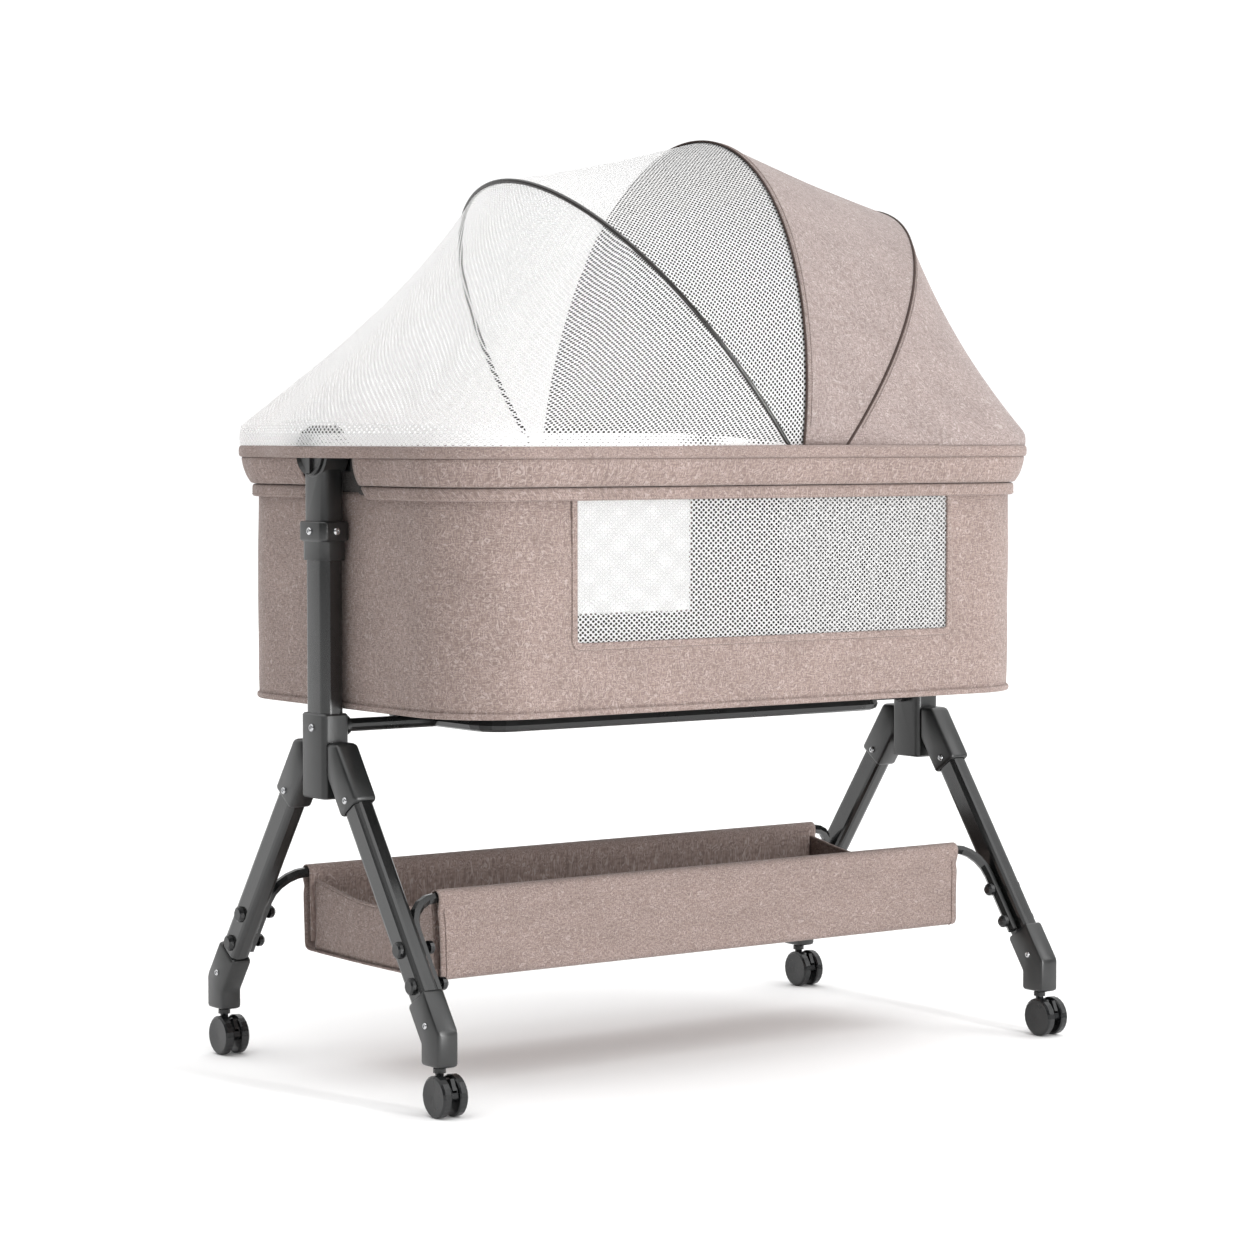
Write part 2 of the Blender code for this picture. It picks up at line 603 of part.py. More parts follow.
def make_rim_frame(finish):
    """The tube round the top of the basket, with a pivot pin at each end and the canopy's pins at the sides."""
    outline = body_outline(-RIM_TUBE_INSET, 5)
    frame = tube("rim_frame", [(x, y, RIM_TUBE_Z) for x, y in outline], RIM_TUBE_RADIUS, finish, cyclic=True)
    tube_x = BODY_HALF[0] - RIM_TUBE_INSET
    for sx in (LEFT, RIGHT):
        ear = bmesh.new()
        centre = Matrix.Translation((sx * (tube_x + 0.008), 0, 0.738))
        bmesh.ops.create_cube(ear, size=1.0, matrix=centre @ Matrix.Diagonal((0.012, 0.046, 0.034, 1)))
        boolean(frame, "UNION", cutter(f"pivot_ear_{side_name(sx)}", ear))
        pin = rod((0, 0, PIVOT_Z), (sx, 0, 0), tube_x + 0.006, POST_X - 0.0035, 0.0060, 16)
        boolean(frame, "UNION", cutter(f"pivot_pin_{side_name(sx)}", pin))
    for sy in (FRONT, BACK):
        x, z = CANOPY_PIVOT
        tab = bmesh.new()
        centre = Matrix.Translation((x, sy * (BODY_HALF[1] - RIM_TUBE_INSET + 0.0015), z + 0.007))
        bmesh.ops.create_cube(tab, size=1.0, matrix=centre @ Matrix.Diagonal((0.018, 0.009, 0.024, 1)))
        boolean(frame, "UNION", cutter(f"canopy_tab_{'front' if sy == FRONT else 'back'}", tab))
        pin = rod((x, 0, z), (0, sy, 0), BODY_HALF[1] - RIM_TUBE_INSET - 0.003, NET_HOOP[3] + 0.0024, 0.0024, 10)
        boolean(frame, "UNION", cutter(f"canopy_pin_{'front' if sy == FRONT else 'back'}", pin))
    return frame


def rim_bow(y, z):
    """How far the rim's end stands out at this distance from the middle, fading to nothing down the flare."""
    if abs(y) >= RIM_BOW_HALF_WIDTH:
        return 0.0
    share = min(1.0, max(0.0, (z - 0.7045) / (0.7375 - 0.7045)))
    past = max(0.0, abs(y) - RIM_BOW_FLAT) / (RIM_BOW_HALF_WIDTH - RIM_BOW_FLAT)
    return RIM_BOW * share * math.cos(math.pi / 2 * past) ** 2


def rim_ring(offset, z):
    """The rim's outline with points along its bowed ends."""
    corners = body_outline(offset, 6)
    count = len(corners) // 4
    ring = []
    for corner in range(4):
        ring += corners[corner * count : (corner + 1) * count]
        if corner in (0, 2):
            continue
        start, end = ring[-1], corners[((corner + 1) * count) % len(corners)]
        ring += [(start[0], start[1] + (end[1] - start[1]) * k / 9) for k in range(1, 9)]
    return [(x + math.copysign(rim_bow(y, z), x), y, z) for x, y in ring]


def make_rim_cover(finish):
    """The padded cloth rim: a lower band, a flare and a top band, open at each end for the yoke."""
    skin = 0.0018
    outer = [(0.0065, 0.6890), (0.0075, 0.7035), (0.0095, 0.7045), (0.0215, 0.7375), (0.0240, 0.7385), (0.0240, 0.7500)]
    inner = [(-0.0040, 0.7500), (-0.0040, 0.7475)]
    inner += [(o - skin, z) for o, z in ((0.0240, 0.7475), (0.0232, 0.7392), (0.0208, 0.7375), (0.0092, 0.7052), (0.0065, 0.7040), (0.0055, 0.6890))]
    profile = outer + inner
    bm = stack([rim_ring(o, z) for o, z in profile], ring_shaped=True)
    cover = link("rim_cover", mesh_of(bm), finish)
    for sx in (LEFT, RIGHT):
        notch = side_plate([(-0.045, 0.7372), (-0.078, 0.680), (0.078, 0.680), (0.045, 0.7372)], 0.40, 0.52, BACK)
        slot = side_plate([(-0.0328, 0.700), (0.0328, 0.700), (0.0328, 0.76), (-0.0328, 0.76)], 0.40, 0.4800, BACK)
        for kind, tool in (("notch", notch), ("slot", slot)):
            tool.transform(Matrix.Scale(sx, 4, (1, 0, 0)))
            boolean(cover, "DIFFERENCE", cutter(f"rim_{kind}_{side_name(sx)}", tool))
    for sy in (FRONT, BACK):
        low, high = sorted((sy * 0.2585, sy * 0.2800))
        slot = bmesh.new()
        centre = Matrix.Translation((0.145, (low + high) / 2, 0.755))
        bmesh.ops.create_cube(slot, size=1.0, matrix=centre @ Matrix.Diagonal((0.29, high - low, 0.030, 1)))
        boolean(cover, "DIFFERENCE", cutter(f"canopy_slot_{'front' if sy == FRONT else 'back'}", slot))
    return cover


# ---------------------------------------------------------------- canopy
def hoop_point(hoop, turn, push=0.0):
    """A point of a hoop, from its front foot at turn 0 over the top to its back foot at turn pi. push widens it."""
    foot, lean, rise, half = hoop
    up = math.sin(turn)
    scale = 1.0 + push / 0.35
    return Vector((foot + lean * up, -(half + push) * math.cos(turn), RIM_Z + rise * scale * up))


def make_hoop(name, hoop, finish):
    """A sprung rod in an arch, with an eye at each foot round the canopy's pin."""
    x, z = CANOPY_PIVOT
    half = hoop[3]
    arch = [hoop_point(hoop, math.pi * k / 26) for k in range(27)]
    points = [Vector((x, -half, z)), *arch, Vector((x, half, z))]
    rod_obj = tube(name, points, HOOP_RADIUS, finish, sides=1, pivot=(x, 0, z))
    for sy in (FRONT, BACK):
        eye = rod((0, sy * half, 0), (0, 1, 0), -0.0019, 0.0019, 0.0062, 12)
        boolean(rod_obj, "UNION", local_tool(f"{name}_eye_{sy}", eye, rod_obj))
        hole = rod((0, sy * half, 0), (0, 1, 0), -0.004, 0.004, 0.0028, 10)
        boolean(rod_obj, "DIFFERENCE", local_tool(f"{name}_hole_{sy}", hole, rod_obj))
    return rod_obj


def local_tool(name, bm, obj):
    """A cutter placed at an object's own origin."""
    tool = cutter(name, bm)
    tool.location = obj.location
    return tool


def rim_path(foot, sx, share):
    """A point on the rim's top edge, from a hoop's foot at share 0, round the end sx, to the other foot at 1."""
    offset, z = 0.0215, RIM_Z + 0.0008
    half_x, half_y, radius = (BODY_HALF[0] + offset, BODY_HALF[1] + offset, BODY_CORNER + offset)
    side = half_x - radius - sx * foot
    bend = math.pi / 2 * radius
    end = half_y - radius
    walk = min(share, 1 - share) * 2 * (side + bend + end)
    if walk < side:
        x, y = sx * foot + walk, half_y
    elif walk < side + bend:
        turn = (walk - side) / radius
        x, y = half_x - radius + radius * math.sin(turn), half_y - radius + radius * math.cos(turn)
    else:
        x, y = half_x, end - (walk - side - bend)
    x += rim_bow(y, RIM_Z)
    return Vector((sx * x, -y if share <= 0.5 else y, z))


def end_cover_point(hoop, sx, share, across):
    """A point of the cloth from a hoop (across 0) down to its hem (across 1), which stands on the rim (across 2)."""
    top = hoop_point(hoop, math.pi * share)
    edge = rim_path(hoop[0], sx, share)
    lip = edge + Vector((0, 0, 0.026 * math.sin(math.pi * share) ** 0.5))
    if across > 1.0:
        return lip.lerp(edge, across - 1.0)
    clear = HOOP_CLEAR / (lip - top).length
    along = clear + (1 - clear) * across
    sag = 0.10 * (top - lip).length * math.sin(math.pi * along)
    return top.lerp(lip, along) + Vector((0, 0, -sag))


def cloth_panel(name, place, finish, around=18, across=4, pivot=(0, 0, 0)):
    """A closed sheet of cloth from place(share around the arch, share across the panel)."""
    bm = bmesh.new()
    rows = []
    for i in range(around + 1):
        rows.append([bm.verts.new(place(i / around, j / across)) for j in range(across + 1)])
    for low, high in zip(rows, rows[1:]):
        for j in range(across):
            bm.faces.new((low[j], low[j + 1], high[j + 1], high[j]))
    panel = link(name, mesh_of(bm), finish, pivot)
    thick = panel.modifiers.new("Cloth", "SOLIDIFY")
    thick.thickness = CLOTH
    thick.offset = 0.0
    return panel


def between(first, second, low_share, high_share):
    """Places for a panel between two hoops, standing just clear of both and of the rim."""

    def place(share, across):
        turn = math.pi * (0.035 + 0.93 * share)
        a, b = hoop_point(first, turn), hoop_point(second, turn)
        clear = min(0.25, HOOP_CLEAR / max((b - a).length, 1e-6))
        return a.lerp(b, clear + (1 - 2 * clear) * across)

    return place


def over_end(hoop, sx):
    def place(share, across):
        kept = 0.05 + 0.90 * share
        down = across / 0.8 if across <= 0.8 else 1.0 + (across - 0.8) / 0.2
        return end_cover_point(hoop, sx, kept, down)

    return place


def make_canopy(cloth, net, rod_finish, dark):
    pivot = (CANOPY_PIVOT[0], 0, CANOPY_PIVOT[1])
    make_hoop("rear_hoop", REAR_HOOP, rod_finish)
    make_hoop("hood_hoop", HOOD_HOOP, rod_finish)
    make_hoop("net_hoop", NET_HOOP, dark)
    cloth_panel("hood_rear_panel", over_end(REAR_HOOP, RIGHT), cloth, around=34, across=5, pivot=pivot)
    cloth_panel("hood_front_panel", between(HOOD_HOOP, REAR_HOOP, 0, 1), cloth, pivot=pivot)
    cloth_panel("net_middle_panel", between(NET_HOOP, HOOD_HOOP, 0, 1), net, pivot=pivot)
    cloth_panel("net_end_panel", over_end(NET_HOOP, LEFT), net, around=34, across=5, pivot=pivot)


# ---------------------------------------------------------------- the whole object
def main():
    clear_scene()
    steel = material("satin_black_steel", (0.045, 0.047, 0.048), 0.38, 0.4)
    plastic = material("dark_grey_nylon", (0.085, 0.088, 0.090), 0.55)
    wheel = material("black_wheel_plastic", (0.03, 0.03, 0.032), 0.4)
    cloth = material("taupe_melange_cloth", (0.42, 0.33, 0.30), 0.9)
    net = material("white_net", (0.85, 0.85, 0.85), 0.8)
    board = material("grey_board", (0.45, 0.44, 0.42), 0.8)
    pad = material("white_mattress_cloth", (0.83, 0.82, 0.80), 0.9)
    wire = material("dark_hoop_binding", (0.06, 0.055, 0.05), 0.6)

    for sx in (LEFT, RIGHT):
        make_hub(sx, plastic)
        make_post(sx, steel)
        make_yoke(sx, plastic, steel)
        make_lock_knob(sx, plastic)
        for sy in (FRONT, BACK):
            make_leg(sx, sy, steel)
            make_leg_socket(sx, sy, plastic)
            make_foot(sx, sy, plastic)
            make_caster(sx, sy, wheel)
            for k in range(len(TRAY_BOLT_Z)):
                make_tray_bolt(sx, sy, k, plastic)
    make_cross_frame(steel)
    for sy in (FRONT, BACK):
        make_tray_rail(sy, steel)
    make_tray(cloth)
    make_basket_body(cloth)
    make_floor_board(board)
    make_mattress(pad)
    make_rim_frame(steel)
    make_rim_cover(cloth)
    make_canopy(cloth, net, steel, wire)


main()
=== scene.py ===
# %% [markdown]
# # A bedside bassinet: cloth, net and moulded plastic
# The bassinet is a cloth basket with net windows, hung between two uprights on casters, with a folding
# hood, a mosquito net over hoops and a storage tray between the legs. Its frame, joints and hard parts
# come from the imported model. This lesson sews the soft goods in their places, gives every part a
# finish, and lights the whole thing.

# %% Load the frame
import json
import math

import bmesh
import bpy
from mathutils import Matrix, Vector, noise


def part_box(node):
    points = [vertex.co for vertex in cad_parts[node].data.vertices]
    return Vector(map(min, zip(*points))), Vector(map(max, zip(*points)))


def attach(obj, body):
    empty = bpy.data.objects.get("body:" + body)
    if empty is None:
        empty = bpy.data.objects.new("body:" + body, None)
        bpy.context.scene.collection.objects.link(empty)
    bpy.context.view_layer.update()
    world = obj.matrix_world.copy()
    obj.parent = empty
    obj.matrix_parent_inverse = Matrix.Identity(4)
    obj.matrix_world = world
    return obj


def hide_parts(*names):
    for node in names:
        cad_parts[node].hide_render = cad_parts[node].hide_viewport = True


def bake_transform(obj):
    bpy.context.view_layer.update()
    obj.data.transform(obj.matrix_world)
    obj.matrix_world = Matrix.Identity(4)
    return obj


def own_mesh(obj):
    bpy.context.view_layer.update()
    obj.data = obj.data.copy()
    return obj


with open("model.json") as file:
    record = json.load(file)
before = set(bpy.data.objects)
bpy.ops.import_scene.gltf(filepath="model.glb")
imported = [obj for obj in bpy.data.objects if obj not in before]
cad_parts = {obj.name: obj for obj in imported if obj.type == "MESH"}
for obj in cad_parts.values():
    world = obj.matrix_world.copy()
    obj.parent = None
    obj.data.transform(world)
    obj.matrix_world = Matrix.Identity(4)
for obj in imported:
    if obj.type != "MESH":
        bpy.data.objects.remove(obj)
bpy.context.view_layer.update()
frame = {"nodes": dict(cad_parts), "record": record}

# %% [markdown]
# ## Colours and nodes
# A maker picks colours from a screen, so they are written here as sRGB hex values. Blender mixes light
# in linear values, and one function turns the first into the second. A second function adds a node to
# a material with its settings and links, so that each material below reads as a short recipe.

# %% Colour and node helpers
def linear(hex_colour):
    """An sRGB hex colour such as "#a08c86" as linear red, green, blue and alpha."""
    parts = [int(hex_colour[k : k + 2], 16) / 255 for k in (1, 3, 5)]
    return [c / 12.92 if c <= 0.04045 else ((c + 0.055) / 1.055) ** 2.4 for c in parts] + [1.0]


def add(tree, kind, sockets=None, **settings):
    """One more node in the tree. sockets maps inputs, by name or number, to values or to outputs to link."""
    made = tree.nodes.new("ShaderNode" + kind)
    for name, value in settings.items():
        setattr(made, name, value)
    for name, value in (sockets or {}).items():
        if isinstance(value, bpy.types.NodeSocket):
            tree.links.new(value, made.inputs[name])
        else:
            made.inputs[name].default_value = value
    return made


def new_finish(name, roughness, metallic=0.0, specular=0.5):
    """A material with its node tree and its Principled shader."""
    finish = bpy.data.materials.new(name)
    finish.use_nodes = True
    shader = finish.node_tree.nodes["Principled BSDF"]
    shader.inputs["Roughness"].default_value = roughness
    shader.inputs["Metallic"].default_value = metallic
    shader.inputs["Specular IOR Level"].default_value = specular
    return finish, finish.node_tree, shader


MM = 0.001
print("taupe ground, linear:", [round(c, 3) for c in linear("#a08c86")])

# %% [markdown]
# ## Melange cloth
# The covers are polyester melange: a plain weave of mixed light and dark yarns, with short pale slubs
# that wander over it like little worms, each some millimetres long and about 1 mm wide. The slubs are
# the contour lines of a soft noise, cut into lengths by a second noise, because contours wander the
# same way and never cross. The real yarns are 0.4 mm apart, too fine to show, so the weave is drawn
# at 1.5 mm.
# Every cloth piece keeps a UV map in metres, so the pattern follows the cloth round each bend.

# %% Make the melange cloth
def melange(name, ground, slub, shade, rough=0.92):
    finish, tree, shader = new_finish(name, rough, specular=0.25)
    shader.inputs["Sheen Weight"].default_value = 0.15
    shader.inputs["Sheen Roughness"].default_value = 0.5
    flat = add(tree, "TexCoord").outputs["UV"]
    drift = add(
        tree, "TexNoise", {"Vector": flat, "Scale": 1 / (10.5 * MM), "Detail": 1.0, "Distortion": 0.9}
    )
    levels = add(tree, "Math", {0: drift.outputs["Fac"], 1: 22.0}, operation="MULTIPLY")
    wave = add(tree, "Math", {0: levels.outputs[0]}, operation="SINE")
    ridge = add(tree, "Math", {0: wave.outputs[0]}, operation="ABSOLUTE")
    worm = add(
        tree, "MapRange",
        {"Value": ridge.outputs[0], "From Min": 0.12, "From Max": 0.52, "To Min": 1.0, "To Max": 0.0},
    )
    cuts = add(tree, "TexNoise", {"Vector": flat, "Scale": 1 / (7.0 * MM), "Detail": 0.0})
    kept = add(tree, "MapRange", {"Value": cuts.outputs["Fac"], "From Min": 0.28, "From Max": 0.42})
    slubs = add(tree, "Math", {0: worm.outputs[0], 1: kept.outputs[0]}, operation="MULTIPLY")
    across = add(tree, "Mapping", {"Vector": flat, "Scale": (1 / (7 * MM), 1 / (1.5 * MM), 1.0)})
    weft = add(tree, "TexNoise", {"Vector": across.outputs[0], "Scale": 1.0, "Detail": 1.0})
    along = add(tree, "Mapping", {"Vector": flat, "Scale": (1 / (1.5 * MM), 1 / (7 * MM), 1.0)})
    warp = add(tree, "TexNoise", {"Vector": along.outputs[0], "Scale": 1.0, "Detail": 1.0})
    weave = add(tree, "Math", {0: weft.outputs["Fac"], 1: warp.outputs["Fac"]}, operation="MULTIPLY")
    depth = add(tree, "MapRange", {"Value": weave.outputs[0], "From Min": 0.16, "From Max": 0.34})
    patch = add(tree, "TexNoise", {"Vector": flat, "Scale": 1 / (60 * MM), "Detail": 2.0})
    uneven = add(
        tree, "MapRange",
        {"Value": patch.outputs["Fac"], "From Min": 0.3, "From Max": 0.7, "To Min": 0.93, "To Max": 1.06},
    )
    cloth_tone = add(
        tree, "Mix", {0: depth.outputs[0], 6: linear(shade), 7: linear(ground)}, data_type="RGBA"
    )
    share = add(tree, "Math", {0: slubs.outputs[0], 1: 0.52}, operation="MULTIPLY")
    with_slubs = add(
        tree, "Mix", {0: share.outputs[0], 6: cloth_tone.outputs[2], 7: linear(slub)}, data_type="RGBA"
    )
    toned = add(
        tree, "VectorMath", {0: with_slubs.outputs[2], "Scale": uneven.outputs[0]}, operation="SCALE"
    )
    tree.links.new(toned.outputs[0], shader.inputs["Base Color"])
    height = add(tree, "Math", {0: slubs.outputs[0], 1: 0.7, 2: depth.outputs[0]}, operation="MULTIPLY_ADD")
    relief = add(tree, "Bump", {"Height": height.outputs[0], "Strength": 0.5, "Distance": 0.4 * MM})
    tree.links.new(relief.outputs[0], shader.inputs["Normal"])
    return finish


taupe = melange("taupe_melange_polyester_weave", "#9a8982", "#c0b2ac", "#7f6e69")
# The hood's cloth is the taupe melange made a little paler and greyer: painted light for the hood, which
# faces up into the light.
hood_taupe_painted_lighter = melange("taupe_melange_hood_weave_painted_lighter", "#9b8d89", "#bfb4b0", "#857773")
# The charcoal lining lines the tub and the hood. It is also painted shade on the gussets behind the uprights
# and on the facing at the hood's front hoop.
lining_and_shade = melange("charcoal_lining_and_painted_shade", "#474341", "#565150", "#383533")
print("cloths:", taupe.name, hood_taupe_painted_lighter.name, lining_and_shade.name)

# %% [markdown]
# ## Net
# The windows and the canopy are warp-knitted polyester net. Machines knit it with round holes in
# staggered rows: about 7 mm apart along a row, with each row 3 mm below the last and shifted by half a
# hole. That is nearly a square grid turned by 45 degrees, so a Voronoi texture with next to no
# randomness, turned the same way, gives the distance to the nearest hole's middle. Inside a hole the
# alpha is 0, so whatever is behind shows as the dark dots of the real net, from every side. Half of the
# light on the threads passes through them, so both sides of the net are about as bright.

# %% Make the net
def net_finish(name, pitch, hole, colour, wander):
    """pitch is from hole to hole along a row and from a row to the next but one. hole is a diameter."""
    finish, tree, shader = new_finish(name, 0.75, specular=0.3)
    shader.inputs["Base Color"].default_value = linear(colour)
    shader.inputs["Sheen Weight"].default_value = 0.2
    flat = add(tree, "TexCoord").outputs["UV"]
    turned = add(
        tree, "Mapping",
        {
            "Vector": flat, "Rotation": (0, 0, math.pi / 4),
            "Scale": (math.sqrt(2) / pitch[0], math.sqrt(2) / pitch[1], 1),
        },
    )
    holes = add(
        tree, "TexVoronoi", {"Vector": turned.outputs[0], "Scale": 1.0, "Randomness": wander},
        voronoi_dimensions="2D",
    )
    edge = hole / 2 * math.sqrt(2) / math.sqrt(pitch[0] * pitch[1])
    thread = add(
        tree, "MapRange",
        {"Value": holes.outputs["Distance"], "From Min": edge - 0.05, "From Max": edge + 0.05},
    )
    tree.links.new(thread.outputs[0], shader.inputs["Alpha"])
    relief = add(tree, "Bump", {"Height": holes.outputs["Distance"], "Strength": 0.3, "Distance": 0.5 * MM})
    tree.links.new(relief.outputs[0], shader.inputs["Normal"])
    through = add(tree, "BsdfTranslucent", {"Color": linear(colour)})
    share = add(tree, "Math", {0: thread.outputs[0], 1: 0.5}, operation="MULTIPLY")
    both = add(tree, "MixShader", {0: share.outputs[0], 1: shader.outputs[0], 2: through.outputs[0]})
    out = next(node for node in tree.nodes if node.type == "OUTPUT_MATERIAL")
    tree.links.new(both.outputs[0], out.inputs["Surface"])
    return finish


window_net = net_finish("white_warp_knit_window_net", (7.2 * MM, 6.0 * MM), 3.3 * MM, "#f0f0f0", 0.16)
canopy_net = net_finish("white_warp_knit_mosquito_net", (6.6 * MM, 6.4 * MM), 3.2 * MM, "#fdfdfd", 0.12)
print("nets:", window_net.name, canopy_net.name)

# %% [markdown]
# ## Hard finishes
# The tubes are steel with a powder coat, whose melted grains leave a faint orange peel about 2 mm
# across. The hubs, sockets and yokes are glass-filled nylon out of spark-eroded moulds, which gives a
# fine matt grain. The casters are smoother black nylon. The screws are zinc-plated steel. Each one
# differs mostly in its roughness and in the size of its bump.

# %% Make the hard finishes
def coated(name, colour, worn, roughness, metallic, grain, strength, specular=0.5):
    """A coat or a moulding with an even grain, read from Object coordinates. grain is its size in metres."""
    finish, tree, shader = new_finish(name, roughness, metallic, specular)
    place = add(tree, "TexCoord").outputs["Object"]
    speck = add(tree, "TexNoise", {"Vector": place, "Scale": 1 / grain, "Detail": 2.0})
    cloud = add(tree, "TexNoise", {"Vector": place, "Scale": 1 / (40 * MM), "Detail": 3.0})
    tone = add(tree, "MapRange", {"Value": cloud.outputs["Fac"], "From Min": 0.35, "From Max": 0.65})
    mixed = add(tree, "Mix", {0: tone.outputs[0], 6: linear(colour), 7: linear(worn)}, data_type="RGBA")
    tree.links.new(mixed.outputs[2], shader.inputs["Base Color"])
    gloss = add(
        tree, "MapRange",
        {
            "Value": cloud.outputs["Fac"], "From Min": 0.3, "From Max": 0.7, "To Min": roughness - 0.04,
            "To Max": roughness + 0.05,
        },
    )
    tree.links.new(gloss.outputs[0], shader.inputs["Roughness"])
    relief = add(
        tree, "Bump", {"Height": speck.outputs["Fac"], "Strength": strength, "Distance": 0.15 * MM}
    )
    tree.links.new(relief.outputs[0], shader.inputs["Normal"])
    return finish


powder_coat = coated("satin_graphite_powder_coat", "#151616", "#191a1a", 0.20, 0.0, 2.0 * MM, 0.04, 0.8)
nylon = coated("graphite_glass_filled_nylon", "#1b1c1c", "#1f2020", 0.33, 0.0, 0.9 * MM, 0.10, 0.7)
dark_coat = coated("black_powder_coat", "#131414", "#171818", 0.30, 0.0, 2.0 * MM, 0.10, 0.6)
caster_nylon = coated("black_moulded_caster_nylon", "#141516", "#18191a", 0.25, 0.0, 1.2 * MM, 0.08, 0.55)
zinc = coated("bright_zinc_plated_steel", "#cfd0d1", "#bfc0c2", 0.24, 1.0, 1.0 * MM, 0.05)
tape = coated("dark_bronze_hoop_tape", "#26221f", "#1f1c1a", 0.24, 0.0, 0.8 * MM, 0.12, 0.7)
black_tape = coated("black_polyester_binding", "#0c0c0c", "#121212", 0.85, 0.0, 0.8 * MM, 0.30, 0.1)
piping_cord = coated("umber_piping_cord", "#483b37", "#403430", 0.75, 0.0, 0.8 * MM, 0.30, 0.2)
thread = coated("pale_taupe_sewing_thread", "#b3a29b", "#a8978f", 0.7, 0.0, 0.6 * MM, 0.2, 0.3)
board = coated("grey_pressed_fibreboard", "#6f6c68", "#7a7772", 0.85, 0.0, 1.5 * MM, 0.2, 0.2)
print("hard finishes:", 10)

# %% [markdown]
# ## Finish the hard parts
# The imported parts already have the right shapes, so they stay and only get a finish. A name's first
# words say which finish it takes.

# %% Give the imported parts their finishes
PART_KINDS = (
    (nylon, "hub yoke leg_socket foot lock_knob height_button"),
    (powder_coat, "post inner_tube leg tray_rail"),
    (dark_coat, "cross_frame rim_frame rear_hoop hood_hoop net_hoop"),
    (caster_nylon, "caster_housing caster_wheels brake_lever tray_bolt"),
    (board, "floor_board"),
)
PART_FINISHES = {kind: finish for finish, kinds in PART_KINDS for kind in kinds.split()}
for name, part in frame["nodes"].items():
    kinds = [kind for kind in PART_FINISHES if name.startswith(kind)]
    if kinds:
        finish = PART_FINISHES[max(kinds, key=len)]
        part.data.materials.clear()
        part.data.materials.append(finish)
print("finished:", sum(any(n.startswith(k) for k in PART_FINISHES) for n in frame["nodes"]), "parts")

# %% [markdown]
# ## Where the cloth goes
# The basket seen from above is a rectangle with large round corners. Nearly every soft piece runs
# round it, so one function gives the point that lies a number of metres round that outline, pushed
# outwards by an offset. The rim bows out at both ends to pass round the heads of the uprights.

# %% Walk round the basket
low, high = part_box("basket_body")
HALF_X, HALF_Y, CORNER = high.x, high.y, 98 * MM
SIDE, END, BEND = HALF_X - CORNER, HALF_Y - CORNER, math.pi / 2 * CORNER
ROUND = 4 * (SIDE + END + BEND)
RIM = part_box("rim_cover")[1].z
BOW, BOW_FLAT, BOW_END = 25.2 * MM, 34 * MM, 165 * MM


def bow(y, z, offset):
    """How far the rim's top band stands out at an end. The bands under it stop short of the upright."""
    past = min(1.0, max(0.0, (abs(y) - BOW_FLAT) / (BOW_END - BOW_FLAT)))
    height = min(1.0, max(0.0, (z - 737.3 * MM) / (0.6 * MM)))
    inwards = min(1.0, max(0.0, (offset + 24 * MM) / (44 * MM)))
    return BOW * height * inwards * math.cos(math.pi / 2 * past) ** 2


def outline(walk, offset, z, bowed=False):
    """The point walk metres round the basket, from the middle of its left end and past the front first."""
    walk %= ROUND
    back = walk > ROUND / 2
    there = ROUND - walk if back else walk
    right = there > ROUND / 4
    v = ROUND / 2 - there if right else there
    if v < END:
        x, y = HALF_X + offset, v
    elif v < END + BEND:
        turn = (v - END) / CORNER
        x, y = SIDE + (CORNER + offset) * math.cos(turn), END + (CORNER + offset) * math.sin(turn)
    else:
        x, y = SIDE - (v - END - BEND), HALF_Y + offset
    if bowed:
        x += bow(y, z, offset)
    return Vector((x if right else -x, y if back else -y, z))


print("once round the basket:", round(ROUND, 3), "m; rim at", round(RIM, 3), "m")

# %% [markdown]
# ## Sheets and cords
# A cloth piece starts as a flat grid, as if just cut, and a function moves each of its points to its
# place on the basket. Its UV map keeps the flat cut's size in metres. A cord or a piping is a curve
# with a round section, turned into a mesh. One last helper names a piece, gives it its finish and
# makes it ride on its body.

# %% Sheet, cord and sewing helpers
def cut_sheet(along, across, flat, place, welded=False, measured=None):
    """A sheet of along by across squares, whose point at shares s and t of its two sides goes to place(s, t).
    measured="first" or "last" gives the UV map its true lengths across, counted from that side."""
    sheet = bmesh.new()
    pattern = sheet.loops.layers.uv.new("UVMap")
    bmesh.ops.create_grid(sheet, x_segments=along, y_segments=across, size=0.5)
    lengths = {}
    if measured:
        for k in range(along + 1):
            line = [place(k / along, j / across) for j in range(across + 1)]
            run = [0.0]
            for a, b in zip(line, line[1:]):
                run.append(run[-1] + (b - a).length)
            lengths[k] = [r - run[-1] for r in run] if measured == "last" else run
    for face in sheet.faces:
        for corner in face.loops:
            share_s, share_t = corner.vert.co.x + 0.5, corner.vert.co.y + 0.5
            v = lengths[round(share_s * along)][round(share_t * across)] if measured else share_t * flat[1]
            corner[pattern].uv = (share_s * flat[0], v)
    share = sheet.verts.layers.float.new("share_across")
    for vert in sheet.verts:
        vert[share] = vert.co.y + 0.5
        vert.co = place(vert.co.x + 0.5, vert.co.y + 0.5)
    if welded:
        bmesh.ops.remove_doubles(sheet, verts=sheet.verts, dist=0.01 * MM)
    return sheet


def face_out(sheet, middle):
    """Turns the sheet's faces so that they look away from the middle point."""
    sheet.normal_update()
    outwards = sum(
        f.normal.dot(f.calc_center_median() - Vector(middle)) * f.calc_area() for f in sheet.faces
    )
    if outwards < 0:
        bmesh.ops.reverse_faces(sheet, faces=sheet.faces)


def split(sheet, plane, normal):
    """Cuts a sheet's faces along a plane, and leaves both sides."""
    parts = sheet.verts[:] + sheet.edges[:] + sheet.faces[:]
    bmesh.ops.bisect_plane(sheet, geom=parts, dist=0.01 * MM, plane_co=plane, plane_no=normal)


